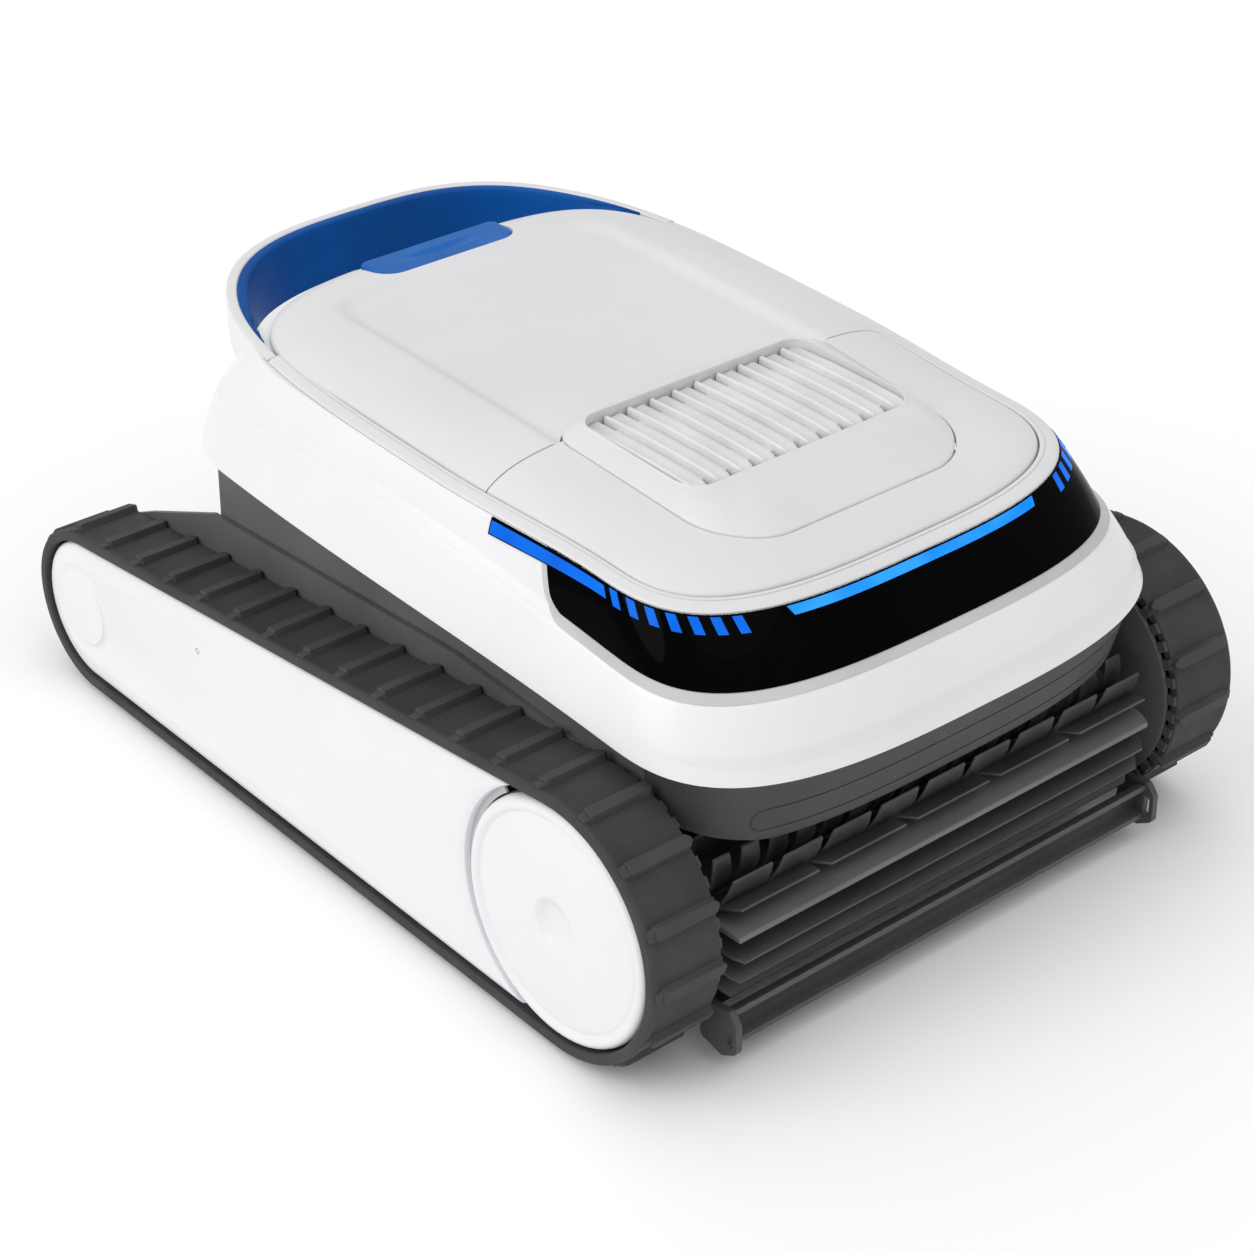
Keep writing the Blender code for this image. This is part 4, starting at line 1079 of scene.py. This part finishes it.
class CLEANER_OT_covers(bpy.types.Operator):
    """White side covers and hub caps"""

    bl_idname = "cleaner.covers"
    bl_label = "Side covers"

    def execute(self, context):
        top = tangent_angle()
        inner = FRONT_R - BELT_T - 1.2
        small = REAR_R - BELT_T - 1.2
        # Edge of the panel as (x, inset); the cuts in it as profiles of (radius, x)
        edge = ((176.0, 0.0), (185.6, 0.0), (186.8, 0.3), (187.6, 1.0), (188.1, 2.2), (188.5, 4.4),
                (188.95, 7.6), (189.2, 8.8), (189.4, 10.4), (189.5, 13.0))
        scoop = ((0.0, 170.0), (GROOVE_R, 170.0), (GROOVE_R, 186.8), (65.3, 187.7), (66.6, 188.4),
                 (69.0, 188.95), (72.5, 189.3), (77.0, 189.6), (80.0, 189.8), (80.0, 195.0), (0.0, 195.0))
        dish = ((18.5, 191.0), (18.7, 189.4), (19.6, 188.5), (21.4, 188.0), (23.2, 188.1), (25.0, 188.6),
                (27.0, 189.3), (28.2, 189.7), (28.2, 191.0), (18.5, 191.0))
        hole = ((1.7, 191.0), (1.7, 188.3), (1.0, 188.0), (1.0, 191.0), (1.7, 191.0))
        hub = ((0.0, 184.9), (3.0, 185.0), (6.0, 185.5), (8.6, 186.4), (10.6, 187.6), (12.0, 188.7),
               (13.0, 189.25), (14.4, 189.45), (24.0, 189.4), (38.0, 189.0), (50.0, 188.5), (52.4, 188.3),
               (53.0, 188.0), (53.6, 188.3), (54.6, 189.2), (55.8, 189.75), (57.0, 189.75), (58.5, 189.1),
               (59.6, 187.9), (60.2, 186.4), (60.3, 184.0), (40.0, 182.5), (0.0, 182.5))

        def ring(x, inset):
            row = []
            for centre, radius, start, end in ((FRONT, inner, top, 270.0), (REAR, small, -90.0, top)):
                row += [(x, *p) for p in arc(centre, radius - inset, start, end, 56)]
            return row

        for side, tag, body in ((1, "l", "drive_left"), (-1, "r", "drive_right")):
            cover = carved(hoop([ring(*step) for step in edge], caps=True), spun(scoop, 144, (0.0, *FRONT)))
            cover = carved(cover, spun(dish, 96, (0.0, REAR[0] + 4.0, REAR[1])),
                           spun(hole, 28, (0.0, 98.0, 77.0)))
            piece("side_panel_" + tag, sided(cover, side), white_abs(), stands_for=["side_cover_" + tag],
                  sharp=30)

            # Ledge deep in the groove round the hub cap, painted grey as the groove's shade
            step = arc(FRONT, 61.3, -62.0, 52.0, 40) + arc(FRONT, 66.0, 52.0, -62.0, 40)
            piece("hub_ledge_" + tag, sided(bar(step, 183.4, 184.6, "X"), side), painted_shade_grey())

            piece("hub_disc_" + tag, sided(spun(hub, 128, (0.0, *FRONT)), side), white_abs(), body=body,
                  stands_for=["hub_cap_" + tag], sharp=34)
        return {"FINISHED"}


class CLEANER_OT_roller(bpy.types.Operator):
    """Brush roller with rows of teeth, paddles and full-length blades"""

    bl_idname = "cleaner.roller"
    bl_label = "Brush roller"

    def execute(self, context):
        def blade(start, end, root, reach, lean, thick, shear, corner, across):
            """Blade between two places along the axle; it leans over towards its tip."""

            def place(u, v, lift):
                cut = corner * smooth_step((v - 0.72) / 0.28)
                x = start + cut + (end - start - 2.0 * cut) * u + shear * (v - 0.5)
                radius = BLADE_ROOT + (reach - BLADE_ROOT) * v
                turn = math.radians(root + lean * v * v)
                body = thick * (1.0 - 0.35 * v)
                side = body / 2.0 if lift == 0.0 else -body / 2.0
                y, z = radius * math.cos(turn), radius * math.sin(turn)
                y -= math.sin(turn) * side
                z += math.cos(turn) * side
                return Vector((x, ROLLER[0] + y, ROLLER[1] + z))

            return slab(place, across, 6, 1.0)

        # Count along the row, share of its length that is blade, lean, shortfall, thickness, shear, corner
        rows = {
            "teeth": (16, 0.70, -18.0, 2.5, 2.0, 3.0, 1.0),
            "paddles": (9, 0.88, -16.0, 0.0, 2.0, 8.0, 1.6),
            "segments": (5, 0.95, 5.0, 0.0, 2.0, 5.0, 2.4),
            "flat": (1, 1.0, 9.0, 0.0, 4.2, 0.0, 2.0),
            "full": (1, 1.0, 5.0, 0.0, 2.0, 0.0, 5.0),
        }
        order = ("full", "full", "full", "paddles", "segments", "flat", "full", "full", "teeth", "paddles",
                 "segments", "flat")
        parts = []
        wipers = []
        for k in range(BLADES):
            root = BLADE_START + 360.0 * k / BLADES
            kind = order[k % len(order)]
            count, share, lean, short, thick, shear, corner = rows[kind]
            step = 2.0 * (ROLLER_HALF - ROLLER_END) / count
            for j in range(count):
                start = -ROLLER_HALF + ROLLER_END + j * step + step * (1.0 - share) / 2.0
                group = wipers if kind == "flat" else parts
                group.append(blade(start, start + step * share, root - lean, ROLLER_R - short, lean, thick,
                                   shear, corner, 24 if count == 1 else 4))
        core = [(0.0, -140.8), (6.0, -140.8), (6.0, -139.4), (24.0, -139.4), (25.4, -138.2), (25.4, -136.0),
                (24.6, -135.0), (24.6, 135.0), (25.4, 136.0), (25.4, 138.2), (24.0, 139.4), (6.0, 139.4),
                (6.0, 140.8), (0.0, 140.8)]
        parts.append(spun(core, 56, (0.0, *ROLLER)))
        for side in (1, -1):
            parts.append(spun([(0.0, 145.4), (5.9, 145.4), (5.9, 140.0), (0.0, 140.0)], 28, (0.0, *ROLLER),
                              flip=side < 0))
        # The wiping blades get a paler finish than the roller: a painted highlight where their faces catch
        # the light
        piece("roller_wipers", joined(wipers), wiper_painted_highlight_rubber(), body="roller", sharp=34,
              edge=0.5)
        piece("roller_brush", joined(parts), roller_rubber(), body="roller", stands_for=["brush_roller"],
              sharp=34, edge=0.3)
        return {"FINISHED"}


class CLEANER_OT_front(bpy.types.Operator):
    """Charcoal bumper over the roller and the lip rail under it"""

    bl_idname = "cleaner.front"
    bl_label = "Bumper and lip rail"

    def execute(self, context):
        def reach(z):
            """Half width and front of the nose at a height."""
            rise = (z - 104.0) / 34.0
            return 146.2 + 0.2 * rise, -236.9 - 8.5 * rise

        def level(inset, z):
            side, front = reach(z)
            spec = (side - inset, 0.0, front + inset, NOSE_DEPTH, 3.0, 1.0)
            return at_height(outline(spec, (-100.0, 20.0, 2.0), steps=(60, 8, 12)), z)

        rows = [level(6.0, 104.0), level(1.6, 104.1), level(0.5, 104.8), level(0.0, 106.2)]
        rows += [level(0.0, z) for z in (110.0, 114.0, 118.0, 122.0, 126.0, 130.0, 136.0, 141.3)]
        nose = cut_plane(hoop(rows, caps=True), (0.0, -190.4, 0.0), (0.0, 1.0, 0.0))
        bay = bar(arc(ROLLER, 57.0, 0.0, 356.0, 89), -160.0, 160.0, "X")
        room = hoop([level(3.5, 121.3), level(3.5, 160.0)], caps=True)
        room = cut_plane(room, (0.0, -193.9, 0.0), (0.0, 1.0, 0.0))

        # Long pill-shaped groove across the nose
        pill = rounded([(-118.0, 112.0), (118.0, 112.0), (118.0, 125.0), (-118.0, 125.0)], [6.4] * 4, 10)
        dense = []
        for a, b in zip(pill, pill[1:] + pill[:1]):
            pieces = max(1, int(math.dist(a, b) / 3.0))
            dense += [mix(a, b, j / pieces) for j in range(pieces)]

        def nose_y(x, z):
            side, front = reach(z)
            return front + NOSE_DEPTH - NOSE_DEPTH * max(0.0, 1.0 - (abs(x) / side) ** 3.0) ** (1.0 / 3.0)

        rows = []
        for a in range(8):
            turn = math.tau * a / 8
            row = []
            for k, (x, z) in enumerate(dense):
                before, after = dense[k - 1], dense[(k + 1) % len(dense)]
                line = Vector((after[0] - before[0], after[1] - before[1])).normalized()
                side = 0.55 * math.cos(turn)
                px, pz = x - line.y * side, z + line.x * side
                row.append((px, nose_y(px, pz) + 0.6 * math.sin(turn), pz))
            rows.append(row)
        nose = carved(nose, bay, room, hoop(rows, wrap=True))
        piece("nose_bumper", nose, charcoal_abs(), stands_for=["front_bumper"], sharp=30)

        rail = [(-231.5, 15.5), (-232.5, 24.0), (-236.0, 31.0), (-241.8, 33.2), (-242.6, 30.6),
                (-238.6, 28.4), (-235.8, 24.5), (-235.8, 19.6), (-238.2, 17.6), (-242.4, 16.6),
                (-242.4, 13.8), (-233.0, 13.4)]
        parts = [bar(rail, -137.5, 137.5, "X")]
        foot = rounded([(-248.5, 14.0), (-248.0, 29.0), (-243.0, 35.0), (-226.0, 33.0), (-224.0, 12.0),
                        (-239.0, 8.4)], [4.0, 4.0, 3.0, 4.0, 3.0, 3.0], 4)
        slot_line = rounded([(-245.6, 16.0), (-242.2, 16.0), (-242.2, 27.0), (-245.6, 27.0)], [1.7] * 4, 5)
        for side in (1, -1):
            plate = bar(foot, 137.4 * side, 141.0 * side, "X")
            parts.append(carved(plate, bar(slot_line, 130.0 * side, 160.0 * side, "X")))
        piece("lip_bar", joined(parts), roller_rubber(), stands_for=["lip_rail"], sharp=30,
              edge=0.3)
        return {"FINISHED"}


class CLEANER_OT_carried(bpy.types.Operator):
    """Finishes for the frame's own solids that stay visible"""

    bl_idname = "cleaner.carried"
    bl_label = "Carried-over solids"

    def execute(self, context):
        finishes = {
            guard_abs: ["chassis_tub", "track_guard_l", "track_guard_r"],
            charcoal_abs: ["track_frame_l", "track_frame_r", "drive_wheel_l", "drive_wheel_r",
                           "idler_wheel_l", "idler_wheel_r", "impeller_duct"],
            inner_nylon: ["battery_pack", "control_box", "drive_gearmotor_l", "drive_gearmotor_r",
                          "pump_motor", "brush_gearmotor"],
            pin_steel: ["drive_shaft_l", "drive_shaft_r", "idler_pin_l", "idler_pin_r", "roller_bushing_l",
                        "roller_bushing_r"],
            handle_pp: ["impeller"],
            basket_pc: ["filter_basket"],
            roller_rubber: ["charge_port_plug"],
        }
        for finish, nodes in finishes.items():
            for name in nodes:
                for place in frame["nodes"][name].material_slots:
                    place.material = finish()
        return {"FINISHED"}


class CLEANER_OT_stage(bpy.types.Operator):
    """Pale floor, soft studio light and the camera"""

    bl_idname = "cleaner.stage"
    bl_label = "Stage"

    def execute(self, context):
        stage = context.scene.cleaner_stage
        bm = bmesh.new()
        bmesh.ops.create_grid(bm, x_segments=2, y_segments=2, size=14.0)
        mesh = bpy.data.meshes.new("floor")
        bm.to_mesh(mesh)
        bm.free()
        floor = bpy.data.objects.new("floor", mesh)
        context.scene.collection.objects.link(floor)
        # Matt painted board: even, with a cloudiness too faint to read as a pattern
        mat, tree, shader = new_material("matt_painted_board", Roughness=0.9, Specular_IOR_Level=0.1)
        coords = add_node(tree, "ShaderNodeTexCoord").outputs["Object"]
        cloud = add_node(tree, "ShaderNodeTexNoise", {"Vector": coords, "Scale": 3.0})
        even = tuple(stage.floor_colour)
        bright = tuple(min(1.0, v * 1.01) for v in even)
        tint = add_node(tree, "ShaderNodeMix", {0: cloud.outputs["Fac"], 6: even, 7: bright},
                        data_type="RGBA")
        tree.links.new(tint.outputs[2], shader.inputs["Base Color"])
        mesh.materials.append(mat)

        for name, azimuth, elevation, strength, spread in (
            ("key", -105.0, 38.0, stage.key_strength, 45.0),
            ("top", 10.0, 82.0, stage.key_strength * 0.5, 70.0),
            ("front", -5.0, 35.0, stage.key_strength * 0.1, 60.0),
        ):
            lamp = bpy.data.lights.new(name, "SUN")
            lamp.energy = strength
            lamp.angle = math.radians(spread)
            obj = bpy.data.objects.new(name, lamp)
            a, e = math.radians(azimuth), math.radians(elevation)
            away = Vector((math.sin(a) * math.cos(e), -math.cos(a) * math.cos(e), math.sin(e)))
            obj.rotation_euler = away.to_track_quat("Z", "Y").to_euler()
            context.scene.collection.objects.link(obj)

        world = bpy.data.worlds.new("studio")
        context.scene.world = world
        world.use_nodes = True
        ground = world.node_tree.nodes["Background"]
        ground.inputs["Color"].default_value = linear("#FDFDFE")
        ground.inputs["Strength"].default_value = stage.sky_strength

        lens = bpy.data.cameras.new("view")
        lens.lens = stage.focal_length
        lens.sensor_width = 36.0
        lens.dof.use_dof = False
        camera = bpy.data.objects.new("view", lens)
        right = Vector((0.75823, -0.65185, 0.01337))
        up = Vector((0.33302, 0.40484, 0.85159))
        back = Vector((-0.56052, -0.64125, 0.52404))
        turn = Matrix((right, up, back)).transposed().to_4x4()
        camera.matrix_world = Matrix.Translation(Vector((-845.31, -976.37, 858.27)) * MM) @ turn
        context.scene.collection.objects.link(camera)
        context.scene.camera = camera
        context.scene.view_settings.view_transform = "Standard"
        return {"FINISHED"}


class CLEANER_PT_pieces(bpy.types.Panel):
    """Lists the pieces of the pool cleaner"""

    bl_idname = "CLEANER_PT_pieces"
    bl_label = "Pool cleaner"
    bl_space_type = "VIEW_3D"
    bl_region_type = "UI"
    bl_category = "Cleaner"

    def draw(self, context):
        layout = self.layout
        for group in (context.scene.cleaner_sizes, context.scene.cleaner_stage):
            for key in group.__annotations__:
                layout.prop(group, key)
        for operator in OPERATORS:
            layout.operator(operator.bl_idname)


OPERATORS = (
    CLEANER_OT_shell,
    CLEANER_OT_visor,
    CLEANER_OT_rim,
    CLEANER_OT_plates,
    CLEANER_OT_grille,
    CLEANER_OT_tracks,
    CLEANER_OT_covers,
    CLEANER_OT_roller,
    CLEANER_OT_front,
    CLEANER_OT_carried,
    CLEANER_OT_stage,
)
CLASSES = (CleanerSizes, CleanerStage, *OPERATORS, CLEANER_PT_pieces)


def register():
    for cls in CLASSES:
        bpy.utils.register_class(cls)
    bpy.types.Scene.cleaner_sizes = bpy.props.PointerProperty(type=CleanerSizes)
    bpy.types.Scene.cleaner_stage = bpy.props.PointerProperty(type=CleanerStage)


def unregister():
    del bpy.types.Scene.cleaner_stage
    del bpy.types.Scene.cleaner_sizes
    for cls in reversed(CLASSES):
        bpy.utils.unregister_class(cls)


def main():
    register()
    for operator in OPERATORS:
        group, action = operator.bl_idname.split(".")
        getattr(getattr(bpy.ops, group), action)()


if __name__ == "__main__":
    main()
